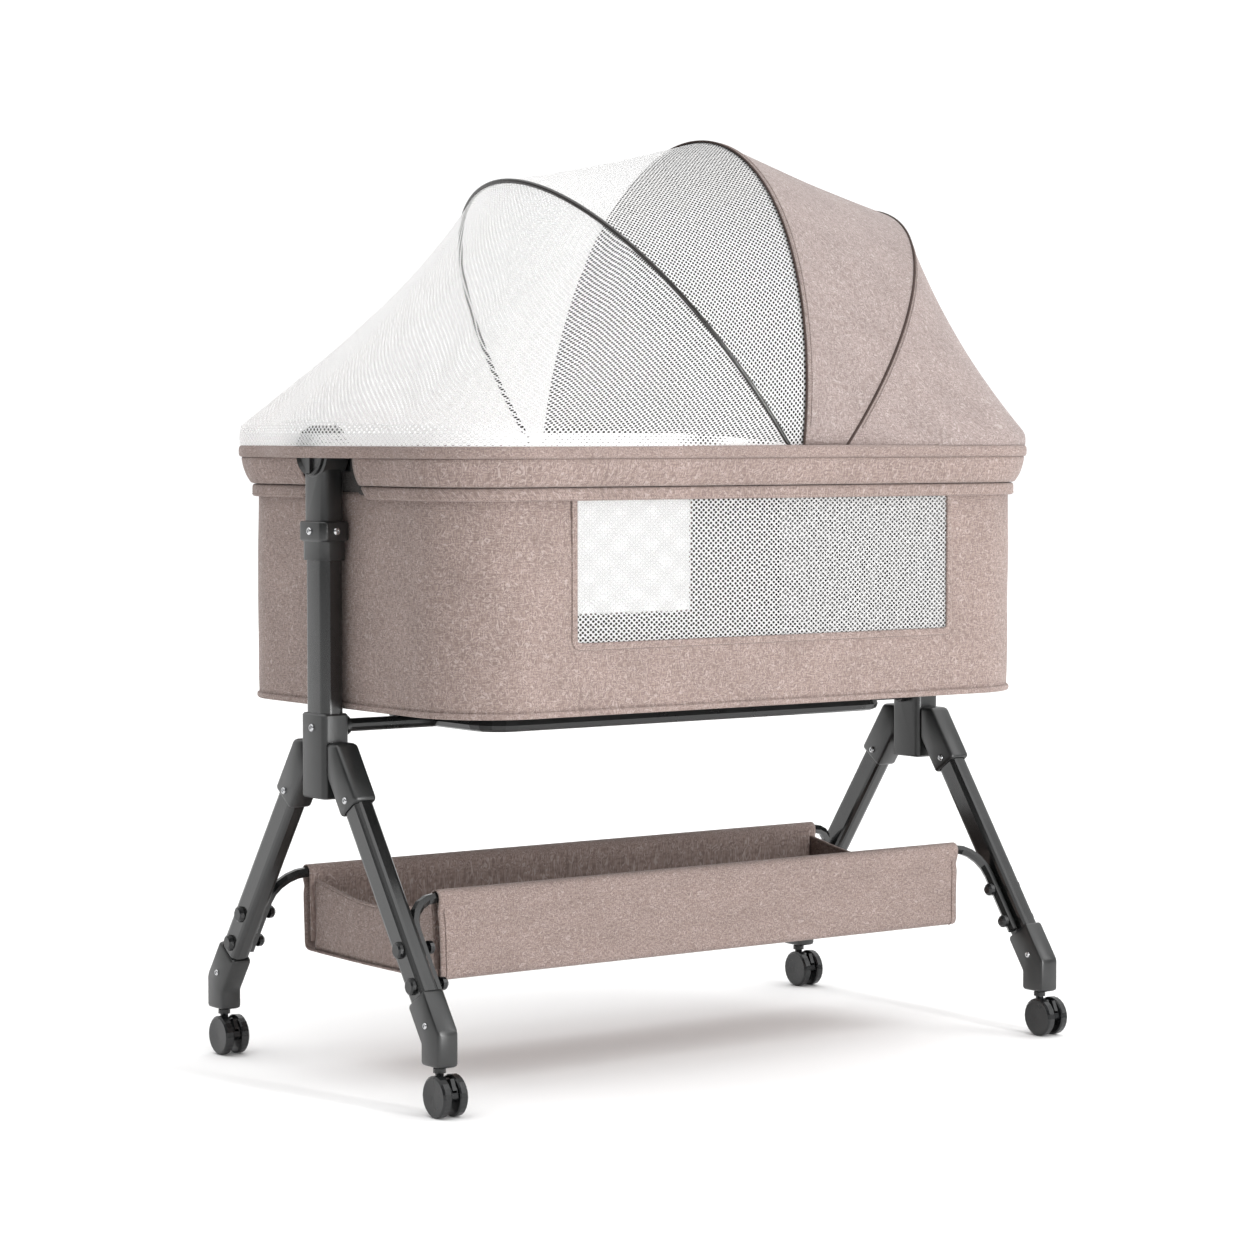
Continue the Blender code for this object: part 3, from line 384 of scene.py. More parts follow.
def piece(name, shape, finish, body, replaces=(), inside=None, angle=35):
    """Names a finished bmesh, and makes it an object that rides on a body."""
    mesh = bpy.data.meshes.new(name)
    shape.to_mesh(mesh)
    shape.free()
    mesh.shade_smooth()
    mesh.set_sharp_from_angle(angle=math.radians(angle))
    made = bpy.data.objects.new(name, mesh)
    bpy.context.scene.collection.objects.link(made)
    for material in (finish, inside):
        if material:
            mesh.materials.append(material)
    if body:
        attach(made, body)
    if replaces:
        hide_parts(*replaces)
    return made


def thicken(made, thickness, inside=False, offset=-1.0):
    """Gives a sheet its thickness, with its inner face in the second finish if inside is true."""
    wall = made.modifiers.new("Thickness", "SOLIDIFY")
    wall.thickness = thickness
    wall.offset = offset
    wall.use_even_offset = True
    if inside:
        wall.material_offset = 1
    return made


def cord_mesh(points, radius, closed=False, sides=3):
    """A round cord through the points, as a bmesh with a UV map in metres."""
    curve = bpy.data.curves.new("cord", "CURVE")
    curve.dimensions = "3D"
    curve.bevel_depth, curve.bevel_resolution, curve.use_fill_caps = radius, sides, not closed
    run = curve.splines.new("POLY")
    run.points.add(len(points) - 1)
    for point, place in zip(run.points, points):
        point.co = (*place, 1.0)
    run.use_cyclic_u = closed
    holder = bpy.data.objects.new("cord", curve)
    bpy.context.scene.collection.objects.link(holder)
    bpy.context.view_layer.update()
    cord = bmesh.new()
    cord.from_mesh(holder.to_mesh())
    holder.to_mesh_clear()
    bpy.data.objects.remove(holder)
    bpy.data.curves.remove(curve)
    bmesh.ops.remove_doubles(cord, verts=cord.verts, dist=0.001 * MM)
    bmesh.ops.recalc_face_normals(cord, faces=cord.faces)
    pattern = cord.loops.layers.uv.verify()
    for face in cord.faces:
        for corner in face.loops:
            corner[pattern].uv = (corner.vert.co.x + corner.vert.co.z, corner.vert.co.y + corner.vert.co.z)
    return cord


def soft(point, size, scale):
    """A small, smooth, repeatable unevenness at a point, for cloth that is never quite flat."""
    return size * noise.noise(Vector(point) / scale)


def declare(made, flat):
    """Returns the area of a piece's mesh. flat, the sheet's flat size in metres at its longest and widest, is
    rounded and not used further.
    """
    area = sum(f.area for f in made.data.polygons)
    flat = tuple(round(side, 3) for side in flat)
    return area


def stitches(name, path, body, step=3.8 * MM, width=0.45 * MM, finish=None):
    """A row of stitches along a path of points: each is a grain of thread of a few dozen faces."""
    row = bmesh.new()
    travelled, due = 0.0, 0.5 * step
    for a, b in zip(path, path[1:]):
        length = (b - a).length
        while due <= travelled + length and length > 0:
            spot = a.lerp(b, (due - travelled) / length)
            turn = (b - a).to_track_quat("X", "Z").to_matrix().to_4x4()
            grain = Matrix.Translation(spot) @ turn @ Matrix.Diagonal((0.40 * step, width, width, 1.0))
            bmesh.ops.create_icosphere(row, subdivisions=1, radius=1.0, matrix=grain)
            due += step
        travelled += length
    return piece(name, row, finish or thread, body)


print("helpers ready")

# %% [markdown]
# ## Round the moulded edges
# A moulded part never has a knife edge: its mould is radiused, and the radius is what catches the
# light. The hubs, sockets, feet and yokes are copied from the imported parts, their loose triangles are
# joined and their flat faces made whole, and every sharp edge gets a bevel of a millimetre or so. The
# uprights are drawn afresh as tubes with wider corners, and a rounded collar clamps each sleeve.

# %% Soften the mouldings
BODY_OF = {node: body for body, nodes in frame["record"]["behaviour"]["bodies"].items() for node in nodes}
POST_X = 455 * MM
ENDS = (("left", -1), ("right", 1))
SIDES = (("front", -1), ("back", 1))


def softened(node, width):
    """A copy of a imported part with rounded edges, in its place."""
    shape = bmesh.new()
    shape.from_mesh(frame["nodes"][node].data)
    bmesh.ops.remove_doubles(shape, verts=shape.verts, dist=0.005 * MM)
    bmesh.ops.dissolve_limit(shape, angle_limit=math.radians(0.5), verts=shape.verts, edges=shape.edges)
    made = piece(node + "_moulding", shape, nylon, BODY_OF[node], [node])
    edge = made.modifiers.new("Mould radius", "BEVEL")
    edge.width, edge.segments, edge.profile = width, 3, 0.5
    edge.limit_method, edge.angle_limit = "ANGLE", math.radians(32)
    edge.use_clamp_overlap = True


for end, _ in ENDS:
    softened(f"hub_{end}", 1.6 * MM)
    softened(f"yoke_{end}", 1.2 * MM)
    for side, _ in SIDES:
        softened(f"leg_socket_{end}_{side}", 1.2 * MM)
        softened(f"foot_{end}_{side}", 1.4 * MM)

# %% Draw the uprights and fit the collars
def upright_block(sx, half_x, half_y, radius, bottom, tall, steps):
    """A closed block round an upright. half_x and half_y go from its middle to its corners' centres."""
    block = bmesh.new()
    ring = []
    for k in range(steps):
        turn = math.tau * (k + 0.5) / steps
        x = sx * POST_X + math.copysign(half_x, math.cos(turn)) + radius * math.cos(turn)
        y = math.copysign(half_y, math.sin(turn)) + radius * math.sin(turn)
        ring.append(block.verts.new((x, y, bottom)))
    block.faces.new(ring)
    top = bmesh.ops.extrude_face_region(block, geom=block.faces[:])["geom"]
    bmesh.ops.translate(
        block, verts=[v for v in top if isinstance(v, bmesh.types.BMVert)], vec=(0, 0, tall)
    )
    return block


for end, sx in ENDS:
    tube = upright_block(sx, 4.0 * MM, 12.0 * MM, 11 * MM, 362 * MM, 272 * MM, 48)
    bmesh.ops.recalc_face_normals(tube, faces=tube.faces)
    piece(f"upright_tube_{end}", tube, powder_coat, "stand", [f"post_{end}"], angle=50)
for end, sx in ENDS:
    collar = upright_block(sx, 11.2 * MM, 19.7 * MM, 8.6 * MM, 640 * MM, 23 * MM, 40)
    level = [e for e in collar.edges if abs(e.verts[0].co.z - e.verts[1].co.z) < 0.01 * MM]
    bmesh.ops.bevel(
        collar, geom=level, offset=2.6 * MM, segments=4, profile=0.5, affect="EDGES", material=-1
    )
    bmesh.ops.recalc_face_normals(collar, faces=collar.faces)
    piece(f"clamp_collar_{end}", collar, nylon, "carriage", angle=50)
print("uprights: 2, collars: 2")

# %% [markdown]
# ## The basket's walls
# The tub is a band of foam-backed melange, sewn round a floor board, with a charcoal lining. Its
# windows are cut out of both long sides, from 525 mm up to the rim. The grid runs once round
# the tub. Cutting it with planes along the windows' edges and deleting the cloth in between leaves
# straight, clean openings, and the thickness goes on last so that the cut edges are closed.

# %% Sew the basket's walls
WALL_LOW, WALL_HIGH = low.z + 6 * MM, 697 * MM
WINDOW_X, WINDOW_LOW = 279 * MM, 525 * MM


def wall_place(s, t):
    z = WALL_LOW + (WALL_HIGH - WALL_LOW) * t
    walk = s * ROUND
    spot = outline(walk, 0.0, z)
    full = 1.2 * MM * math.sin(math.pi * t) ** 0.7
    return outline(walk, full - 0.6 * MM + soft(spot, 0.9 * MM, 60 * MM), z)


walls = cut_sheet(432, 34, (ROUND, WALL_HIGH - WALL_LOW), wall_place, welded=True)
face_out(walls, (0, 0, 0.57))
for x in (-WINDOW_X, WINDOW_X):
    split(walls, (x, 0, 0), (1, 0, 0))
split(walls, (0, 0, WINDOW_LOW), (0, 0, 1))


def in_window(face):
    middle = face.calc_center_median()
    return abs(middle.x) < WINDOW_X and middle.z > WINDOW_LOW and abs(middle.y) > 0.25


bmesh.ops.delete(walls, geom=[f for f in walls.faces if in_window(f)], context="FACES")
basket_walls = thicken(
    piece("basket_walls", walls, taupe, "basket", ["basket_body"], lining_and_shade), 3.2 * MM,
    inside=True,
)
print("walls:", len(basket_walls.data.polygons), "faces")

# %% [markdown]
# A tape is folded over the windows' edges and stitched down, and stands a little proud of the wall. It
# goes down one side, along the sill and up the other, round two tight corners. Behind it the net is
# pulled flat.

# %% Bind the windows and stretch the net
TAPE = 9 * MM


def window_path(share, inset):
    """A point on a U-shaped path down one side of a window, along its sill and up the other side."""
    radius = 4 * MM - inset
    half, sill, top = WINDOW_X - inset, WINDOW_LOW + inset, WALL_HIGH - 4 * MM
    drop, run, turn = top - sill - radius, 2 * (half - radius), math.pi / 2 * radius
    walk = share * (2 * (drop + turn) + run)
    mirrored = walk > drop + turn + run / 2
    walk = 2 * (drop + turn) + run - walk if mirrored else walk
    if walk < drop:
        x, z = -half, top - walk
    elif walk < drop + turn:
        a = (walk - drop) / radius
        x, z = -half + radius - radius * math.cos(a), sill + radius - radius * math.sin(a)
    else:
        x, z = -half + radius + (walk - drop - turn), sill
    return (-x if mirrored else x), z


for side, sy in SIDES:

    def tape_place(s, t, sy=sy):
        x, z = window_path(s, 1.2 * MM - TAPE * t)
        proud = 1.0 * MM - 1.4 * MM * (2 * t - 1) ** 6
        return Vector((x, sy * (HALF_Y + 0.9 * MM + proud), z))

    binding = cut_sheet(150, 6, (0.9, TAPE), tape_place)
    face_out(binding, (0, 0, 0.6))
    thicken(piece(f"window_binding_{side}", binding, taupe, "basket"), 1.4 * MM)

    def net_place(s, t, sy=sy):
        x, z = (2 * s - 1) * (WINDOW_X + 5 * MM), WINDOW_LOW - 5 * MM + (WALL_HIGH - WINDOW_LOW) * t
        return Vector((x, sy * (HALF_Y - 1.5 * MM - soft((x, z, sy), 0.8 * MM, 90 * MM)), z))

    pane = cut_sheet(64, 20, (2 * WINDOW_X + 10 * MM, WALL_HIGH - WINDOW_LOW), net_place)
    face_out(pane, (0, 0, 0.6))
    window = piece(f"window_net_{side}", pane, window_net, "basket")
    row = [window_path(k / 120, -6.2 * MM) for k in range(121)]
    stitches(
        f"window_stitches_{side}", [Vector((x, sy * (HALF_Y + 1.9 * MM), z)) for x, z in row], "basket"
    )
print("windows:", round(2 * WINDOW_X, 3), "by", round(WALL_HIGH - WINDOW_LOW, 3), "m")

# %% [markdown]
# Inside, the panels meet at the middle of each round corner, under a black binding. Between the
# bindings, each end of the tub has a second net over its lining, which keeps air moving beside the
# mattress and makes the ends look paler through the windows.

# %% Line the ends and bind the inner corners
for end, middle in (("left", 0.0), ("right", ROUND / 2)):
    reach = END + BEND * 0.47

    def liner_place(s, t, middle=middle, reach=reach):
        walk, z = middle + (2 * s - 1) * reach, WALL_LOW + 30 * MM + (690 * MM - WALL_LOW - 30 * MM) * t
        return outline(walk, -7.0 * MM, z)

    inner_net = cut_sheet(72, 12, (2 * reach, 0.21), liner_place)
    face_out(inner_net, (0, 0, 0.6))
    bmesh.ops.reverse_faces(inner_net, faces=inner_net.faces)
    made = piece(f"end_liner_net_{end}", inner_net, window_net, "basket")
    declare(made, (2 * reach, 0.22))
    for side, share in (("front", 1), ("back", -1)):
        line = [
            outline(middle + (share if end == "left" else -share) * reach, -6.6 * MM, z)
            for z in (0.47, 0.54, 0.61, 0.69)
        ]
        piece(
            f"inner_binding_{end}_{side}", cord_mesh(line, 3.6 * MM), black_tape, "basket"
        )
print("liner nets: 2, inner bindings: 4")

# %% [markdown]
# The foot of the wall is closed with a flat welt, a folded strip about 7 mm tall with a groove over
# it, and the tub's base is a sheet of charcoal cloth under the board.

# %% Add the welt and the base cloth
def strip_round(profile, steps, bowed=False, start=0.0, length=None, welded=True):
    """A sheet that runs round the basket, whose section is a list of (offset, z) points."""
    length = ROUND if length is None else length
    count = len(profile) - 1
    tall = sum(math.dist(a, b) for a, b in zip(profile, profile[1:]))

    def place(s, t):
        offset, z = profile[round(t * count)]
        return outline(start + s * length, offset, z, bowed)

    return cut_sheet(steps, count, (length, tall), place, welded)


base = low.z
welt = strip_round(
    [
        (-3 * MM, base + 8.4 * MM), (0.6 * MM, base + 8.0 * MM), (2.2 * MM, base + 6.8 * MM),
        (2.6 * MM, base + 4.4 * MM), (2.2 * MM, base + 2.2 * MM), (0.8 * MM, base + 1.0 * MM),
        (-3 * MM, base + 0.8 * MM),
    ],
    320,
)
face_out(welt, (0, 0, base + 4 * MM))
piece("foot_welt", welt, taupe, "basket")
underside = bmesh.new()
pattern = underside.loops.layers.uv.new("UVMap")
rim_points = [underside.verts.new(outline(ROUND * k / 120, -2.5 * MM, base + 0.9 * MM)) for k in range(120)]
underside.faces.new(rim_points)
bmesh.ops.recalc_face_normals(underside, faces=underside.faces)
for face in underside.faces:
    if face.normal.z > 0:
        face.normal_flip()
    for corner in face.loops:
        corner[pattern].uv = corner.vert.co.xy
thicken(piece("base_cloth", underside, lining_and_shade, "basket"), 1.0 * MM)
print("welt and base added at", round(base, 4), "m")

# %% [markdown]
# ## The padded rim
# The rim is three sewn shapes, one over the next: a round lower band, a flare that leans outwards, and
# a thin top band that wraps over the rim's tube. The lower two stop short of each upright with slanted
# edges, and the top band passes outside its head. A section of (offset, height) points is drawn for
# each and carried round the basket.

# %% Sew the rim
LOWER_BAND = [
    (0.6, 690.5), (3.6, 688.9), (5.8, 689.3), (6.9, 691.4), (7.2, 696.0), (7.0, 700.8), (6.0, 703.2),
    (3.6, 704.0), (0.8, 703.6),
]
FLARE = [
    (1.0, 705.2), (5.6, 704.7), (8.6, 705.6), (11.6, 709.6), (14.6, 715.0), (17.0, 721.0), (18.8, 727.0),
    (19.9, 732.5), (20.2, 735.6), (19.6, 736.8), (18.4, 737.2), (19.6, 738.2),
]
TOP_BAND = [
    (16.0, 738.5), (19.6, 738.2), (21.4, 738.7), (22.1, 740.4), (22.3, 744.3), (22.0, 747.8), (20.8, 749.4),
    (17.5, 750.2), (8.0, 750.8), (-4.0, 751.0), (-14.0, 750.0), (-21.0, 746.0), (-24.5, 739.0),
    (-25.0, 728.0), (-20.0, 713.0), (-6.0, 698.0),
]


def in_metres(profile):
    return [(a * MM, z * MM) for a, z in profile]


def notch_edge(z):
    """Half the width of the gap for the upright at a height."""
    above = z - 704.5 * MM
    return 56 * MM + (0.17 * above if above > 0 else -1.0 * above)


def skirt(profile, side, steps):
    """A strip along one side of the rim, from one upright's gap to the other's."""
    points = in_metres(profile)
    count = len(points) - 1
    tall = sum(math.dist(a, b) for a, b in zip(points, points[1:]))

    def place(s, t):
        offset, z = points[round(t * count)]
        gap = notch_edge(z)
        walk = gap + s * (ROUND / 2 - 2 * gap)
        spot = outline(walk, offset, z, True)
        spot = outline(walk, offset + soft(spot, 0.5 * MM, 45 * MM), z, True)
        return spot if side == "front" else Vector((spot.x, -spot.y, spot.z))

    sheet = cut_sheet(steps, count, (ROUND / 2, tall), place)
    face_out(sheet, (0, 0, 0.70))
    return sheet


for side in ("front", "back"):
    thicken(
        piece(
            f"lower_band_{side}", skirt(LOWER_BAND, side, 200), taupe, "basket", angle=60
        ),
        1.6 * MM,
    )
    thicken(
        piece(
            f"rim_flare_{side}", skirt(FLARE, side, 200), taupe, "basket", ["rim_cover"],
            angle=60,
        ),
        1.6 * MM,
    )
band = strip_round(in_metres(TOP_BAND), 420, bowed=True)
face_out(band, (0, 0, 0.60))
HEAD_HALF, HEAD_IN, HEAD_OUT = 34.5 * MM, 434 * MM, 478.6 * MM  # the hole in the band over an upright's head
cuts = [((0, y, 0), (0, 1, 0)) for y in (HEAD_HALF, -HEAD_HALF)]
cuts += [((x, 0, 0), (1, 0, 0)) for x in (HEAD_OUT, -HEAD_OUT, HEAD_IN, -HEAD_IN)]
for plane, normal in cuts:
    split(band, plane, normal)


def over_head(face):
    middle = face.calc_center_median()
    return abs(middle.y) < HEAD_HALF and HEAD_IN < abs(middle.x) < HEAD_OUT and middle.z > 745 * MM


bmesh.ops.delete(band, geom=[f for f in band.faces if over_head(f)], context="FACES")
thicken(piece("rim_top_band", band, taupe, "basket", angle=60), 1.2 * MM)
for side, sy in (("front", 1), ("back", -1)):
    points = [outline(0.066 + k / 200 * (ROUND / 2 - 0.132), 7.3 * MM, 691.6 * MM) for k in range(201)]
    stitches(f"lower_band_stitches_{side}", [Vector((q.x, sy * q.y, q.z)) for q in points], "basket")
print("rim sewn")

# %% [markdown]
# Behind each gap a gusset closes the wall up to the top band and hides the rim's tube. It is cut from the
# dark
# lining cloth as painted shade: it stands in for the shadow under the upright's head and the top band.

# %% Fill the gaps behind the uprights
for end, sx in ENDS:

    def gusset_place(s, t, sx=sx):
        y, z = (2 * s - 1) * 92 * MM, 694 * MM + 46 * MM * t
        return Vector((sx * (HALF_X - 0.9 * MM + soft((y, z, 3), 0.6 * MM, 30 * MM)), y, z))

    gusset = cut_sheet(40, 10, (0.196, 0.045), gusset_place)
    face_out(gusset, (0, 0, 0.7))
    # The gusset's dark lining is painted shade behind the upright's head.
    thicken(piece(f"painted_shade_gusset_{end}", gusset, lining_and_shade, "basket"), 1.2 * MM)
print("gussets: 2")

# %% [markdown]
# ## The canopy
# Three sprung hoops stand on the rim. The hood's cloth is stretched over the two rear ones and down to
# the rim, and the net over the front one and down to the other end. Between two hoops, cloth under
# tension draws in towards the middle like a saddle, so each panel's points lie on straight lines from
# hoop to hoop and then move inwards a little. All the hoops turn about one pair of pins.

# %% Describe the hoops and the panels between them
HOOPS = {  # foot X, lean of the top past the foot, rise over the rim, half width
    "rear": (110.8 * MM, 246.1 * MM, 301.7 * MM, 272 * MM),
    "hood": (46.6 * MM, 43.6 * MM, 379.3 * MM, 272 * MM),
    "net": (23.7 * MM, -226.8 * MM, 318.8 * MM, 271.2 * MM),
}


def hoop_point(hoop, share, out=0.0, lift=0.0):
    """A point of a hoop, from its front foot at share 0 to its back foot at 1, pushed outwards by out."""
    foot, lean, rise, half = HOOPS[hoop]
    turn = math.pi * share
    reach = 1 + out / rise
    return Vector(
        (
            foot + lean * math.sin(turn), -(half + out) * math.cos(turn),
            RIM + lift + rise * reach * math.sin(turn),
        )
    )


def saddle(a, b, t, draw):
    """The point t of the way from a to b, drawn in towards the middle of the basket."""
    spot = a.lerp(b, t)
    inwards = (Vector((0.06, 0, RIM)) - spot)
    inwards.x *= 0.3
    return spot + inwards.normalized() * draw * math.sin(math.pi * t)


def between_hoops(first, second, first_out, second_out, draw):
    def place(s, t):
        a, b = hoop_point(first, s, first_out, 1 * MM), hoop_point(second, s, second_out, 1 * MM)
        width = (b - a).length
        spot = saddle(a, b, t, draw * width)
        return spot + Vector(
            (0, math.copysign(1, spot.y) * soft(spot, 1.4 * MM, 70 * MM), 0)
        ) * math.sin(math.pi * t)

    return place


def rim_seam(foot, end, share):
    """Where the hem of an end panel meets the rim, from one foot of its hoop round the end to the other."""
    if end < 0:
        walk = ROUND / 4 + foot - share * 2 * (ROUND / 4 + foot)
    else:
        walk = ROUND / 4 + foot + share * 2 * (ROUND / 4 - foot)
    travelled = min(share, 1 - share) * 2
    offset = 8 * MM + 13.5 * MM * min(1.0, travelled / 0.3)
    return outline(walk, offset, RIM + 0.9 * MM, True)


def over_the_end(hoop, end, out, draw, lip, straight, high_up, round_head=6 * MM):
    """Places for a panel from a hoop down to a hem standing on the rim, higher round the upright's head."""

    def place(s, t):
        top, seam = hoop_point(hoop, s, out, 1 * MM), rim_seam(HOOPS[hoop][0], end, s)
        grown = math.sin(math.pi * s) ** 0.6
        beside = max(0.0, 1 - (seam.y / (95 * MM)) ** 2)
        rise = lip * grown + round_head * beside ** 1.5
        edge = seam + Vector((-end * 1.2 * MM * grown, 0, rise))
        if t > straight:
            u = (t - straight) / (1 - straight)
            return edge.lerp(seam, u) + Vector((end * 1.2 * MM * math.sin(math.pi * u) * grown, 0, 0))
        u = t / straight
        spot = top.lerp(edge, u)
        length = (edge - top).length
        spot.z -= draw * length * math.sin(math.pi * u ** high_up) * (1 - 0.75 * beside * u ** 4)
        return spot + Vector((0, 0, soft(spot, 1.6 * MM, 80 * MM) * math.sin(math.pi * u)))

    return place


print("hoop tops:", [round(hoop_point(h, 0.5).z, 3) for h in HOOPS])

# %% [markdown]
# The panels are sheets. The hood's two are lined, so they get a thickness with the lining inside, and
# the net's two stay single, because their yarn is thinner than a render can show.

# %% Sew the hood and hang the net
hood_front_place = between_hoops("hood", "rear", 1.8 * MM, 1.2 * MM, 0.010)
hood_rear_place = over_the_end("rear", 1, 1.2 * MM, 0.065, 18 * MM, 0.88, 0.9)
net_middle_place = between_hoops("net", "hood", 0.0, -1.0 * MM, 0.012)
net_end_place = over_the_end("net", -1, 0.0, 0.045, 26 * MM, 0.90, 0.7)
hood_front = cut_sheet(120, 24, (1.12, 0.28), hood_front_place, measured="first")
face_out(hood_front, (0.15, 0, 0.80))
hood_front_panel = thicken(
    piece("hood_front_cloth", hood_front, hood_taupe_painted_lighter, None, ["hood_front_panel"], lining_and_shade),
    1.4 * MM, inside=True,
)
declare(hood_front_panel, (1.12, 0.28))
hood_rear = cut_sheet(140, 30, (1.1, 0.42), hood_rear_place, measured="last")
face_out(hood_rear, (0.1, 0, 0.80))
hood_rear_panel = thicken(
    piece(
        "hood_rear_cloth", hood_rear, hood_taupe_painted_lighter, "basket", ["hood_rear_panel"], lining_and_shade
    ),
    1.4 * MM, inside=True,
)
declare(hood_rear_panel, (1.1, 0.42))
net_middle = cut_sheet(140, 30, (1.12, 0.31), net_middle_place, measured="last")
face_out(net_middle, (-0.05, 0, 0.80))
net_middle_panel = piece(
    "net_middle_cloth", net_middle, canopy_net, None, ["net_middle_panel"]
)
declare(net_middle_panel, (1.12, 0.31))
net_end = cut_sheet(180, 50, (1.2, 0.46), net_end_place, measured="last")
face_out(net_end, (-0.2, 0, 0.80))
net_end_panel = piece("net_end_cloth", net_end, canopy_net, "net", ["net_end_panel"])
declare(net_end_panel, (1.2, 0.46))
print(
    "canopy faces:",
    sum(len(o.data.polygons) for o in (hood_front_panel, hood_rear_panel, net_middle_panel, net_end_panel)),
)

# %% [markdown]
# The net's lower edge is folded up and sewn, so along the rim there are two layers of net, one just
# outside the other, and their holes no longer line up. That is why the hem looks paler and denser.

# %% Fold the net's hem
HEM = 15 * MM


def hem_place(s, t):
    top, foot = net_end_place(s, 0.90), net_end_place(s, 1.0)
    tall = max((foot - top).length, 0.1 * MM)
    share = min(1.0, HEM / tall)
    spot = net_end_place(s, 1.0 - 0.10 * share * (1 - t))
    away = Vector((spot.x - 0.05, spot.y, 0)).normalized()
    return spot + away * 0.9 * MM


hem = cut_sheet(180, 4, (1.2, HEM), hem_place, measured="first")
face_out(hem, (-0.2, 0, 0.76))
net_hem = piece("net_hem", hem, canopy_net, "net")
print("hem:", round(sum(f.area for f in net_hem.data.polygons) * 1e4), "square cm")

# %% [markdown]
# Each edge has its trim. The hood's front edge and its rear hoop each have a dark piping and, 6 mm
# behind it, a raised seam where the cloth is folded over. The net's hoop is wrapped in dark tape, and
# the net is sewn to the middle of the wrapping, so the hoop shows from outside and from inside.

# %% Trim the hoops
def arch(hoop, out, steps=96, lift=0.6 * MM, shift=0.0):
    points = [hoop_point(hoop, k / steps, out, lift) for k in range(steps + 1)]
    return [q + Vector((shift, 0, 0)) for q in points]


def fold_line(place, distance, steps=110, out=0.5 * MM, gap=0.02):
    """A line on a panel, a fixed distance from its first hoop, and a little proud of the cloth."""
    points = []
    for k in range(steps + 1):
        s = gap + (1 - 2 * gap) * k / steps
        across = (place(s, 0.5) - place(s, 0.0)).length * 2
        spot = place(s, min(0.5, distance / max(across, distance)))
        points.append(spot + (spot - Vector((0.15, 0, 0.78))).normalized() * out)
    return points


piece(
    "net_hoop_tape", cord_mesh(arch("net", 0.0), 3.1 * MM, sides=5), tape, "net", ["net_hoop"]
)
piece(
    "hood_front_piping", cord_mesh(arch("hood", 1.2 * MM, shift=-1.6 * MM), 1.4 * MM), piping_cord, "hood",
)
piece(
    "hood_front_fold", cord_mesh(fold_line(hood_front_place, 6.5 * MM), 0.9 * MM), hood_taupe_painted_lighter, "hood",
)
stitches("hood_front_stitches", fold_line(hood_front_place, 4.0 * MM, out=0.3 * MM), "hood")
piece(
    "hood_rear_piping", cord_mesh(arch("rear", 1.6 * MM), 1.7 * MM), piping_cord, "basket"
)
piece(
    "hood_rear_fold", cord_mesh(fold_line(hood_rear_place, 6.5 * MM, gap=0.03), 0.9 * MM), hood_taupe_painted_lighter,
    "basket",
)
stitches("hood_rear_stitches", fold_line(hood_rear_place, 4.0 * MM, out=0.3 * MM, gap=0.03), "basket")


# Along the hood's front hoop, just behind the net, a strip of dark lining makes the hood's inner flange. It
# is also painted shade, darkening the net where it meets the hoop.
def facing_place(s, t):
    far = 1 - 8 * MM / max((net_middle_place(s, 1) - net_middle_place(s, 0)).length, 8 * MM) * t
    spot = net_middle_place(s, far)
    return spot + (Vector((0.15, 0, 0.78)) - spot).normalized() * 2.0 * MM


facing = cut_sheet(110, 3, (1.1, 11 * MM), facing_place)
face_out(facing, (0.0, 0, 0.80))
piece("hood_front_shade_facing", facing, lining_and_shade, "hood")
print("hoop trims: 8")

# %% [markdown]
# ## The storage tray
# The tray is a strip of cloth hooked over both rails like a stretcher, with a panel sewn across each
# end. Each long side is a wide hem with the rail inside, so the cloth is double there. Its floor sags
# a little between them, and the end panels droop at the top where nothing holds them.

# %% Hang the storage tray
RAIL_Y, RAIL_Z = 145.5 * MM, 230.5 * MM
TRAY_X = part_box("storage_tray")[1].x + 2 * MM


def tray_section():
    """Half the tray's section as (distance out, height), from the inner hem to the middle of the floor."""
    wrap = 9.4 * MM
    points = [
        (RAIL_Y - 8.0 * MM, 146 * MM), (RAIL_Y - 8.6 * MM, 180 * MM), (RAIL_Y - wrap, 212 * MM),
        (RAIL_Y - wrap, RAIL_Z),
    ]
    points += [
        (RAIL_Y - wrap * math.cos(math.pi * k / 8), RAIL_Z + wrap * math.sin(math.pi * k / 8))
        for k in range(1, 8)
    ]
    points += [(RAIL_Y + wrap, RAIL_Z)]
    for k in range(1, 21):
        z = RAIL_Z - (RAIL_Z - 142 * MM) * k / 20
        nip = 2.6 * MM * math.exp(-(((RAIL_Z - z - 17 * MM) / (6 * MM)) ** 2))
        points.append((RAIL_Y + wrap - 1.5 * MM * math.sin(math.pi * k / 21) - nip, z))
    points += [(RAIL_Y + 7.5 * MM, 137 * MM), (RAIL_Y + 3 * MM, 134.4 * MM), (RAIL_Y - 6 * MM, 133.6 * MM)]
    points += [
        ((RAIL_Y - 6 * MM) * (1 - k / 8), 133.6 * MM - 1.2 * MM * math.sin(math.pi / 2 * k / 8))
        for k in range(1, 9)
    ]
    return points


half = tray_section()
section = half + [(-y, z) for y, z in reversed(half[:-1])]
SECTION_LENGTH = sum(math.dist(a, b) for a, b in zip(section, section[1:]))


def tray_place(s, t):
    y, z = section[round(t * (len(section) - 1))]
    x = (2 * s - 1) * TRAY_X
    side = min(1.0, abs(y) / RAIL_Y)
    low_down = max(0.0, min(1.0, (RAIL_Z - z) / (95 * MM)))
    y += math.copysign(
        soft((x, z, side), 2.4 * MM, 85 * MM) * math.sin(math.pi * low_down), y
    ) if side > 0.9 else 0.0
    x -= math.copysign(3.0 * MM * low_down * (abs(2 * s - 1)) ** 8, x)
    return Vector((x, y, z))


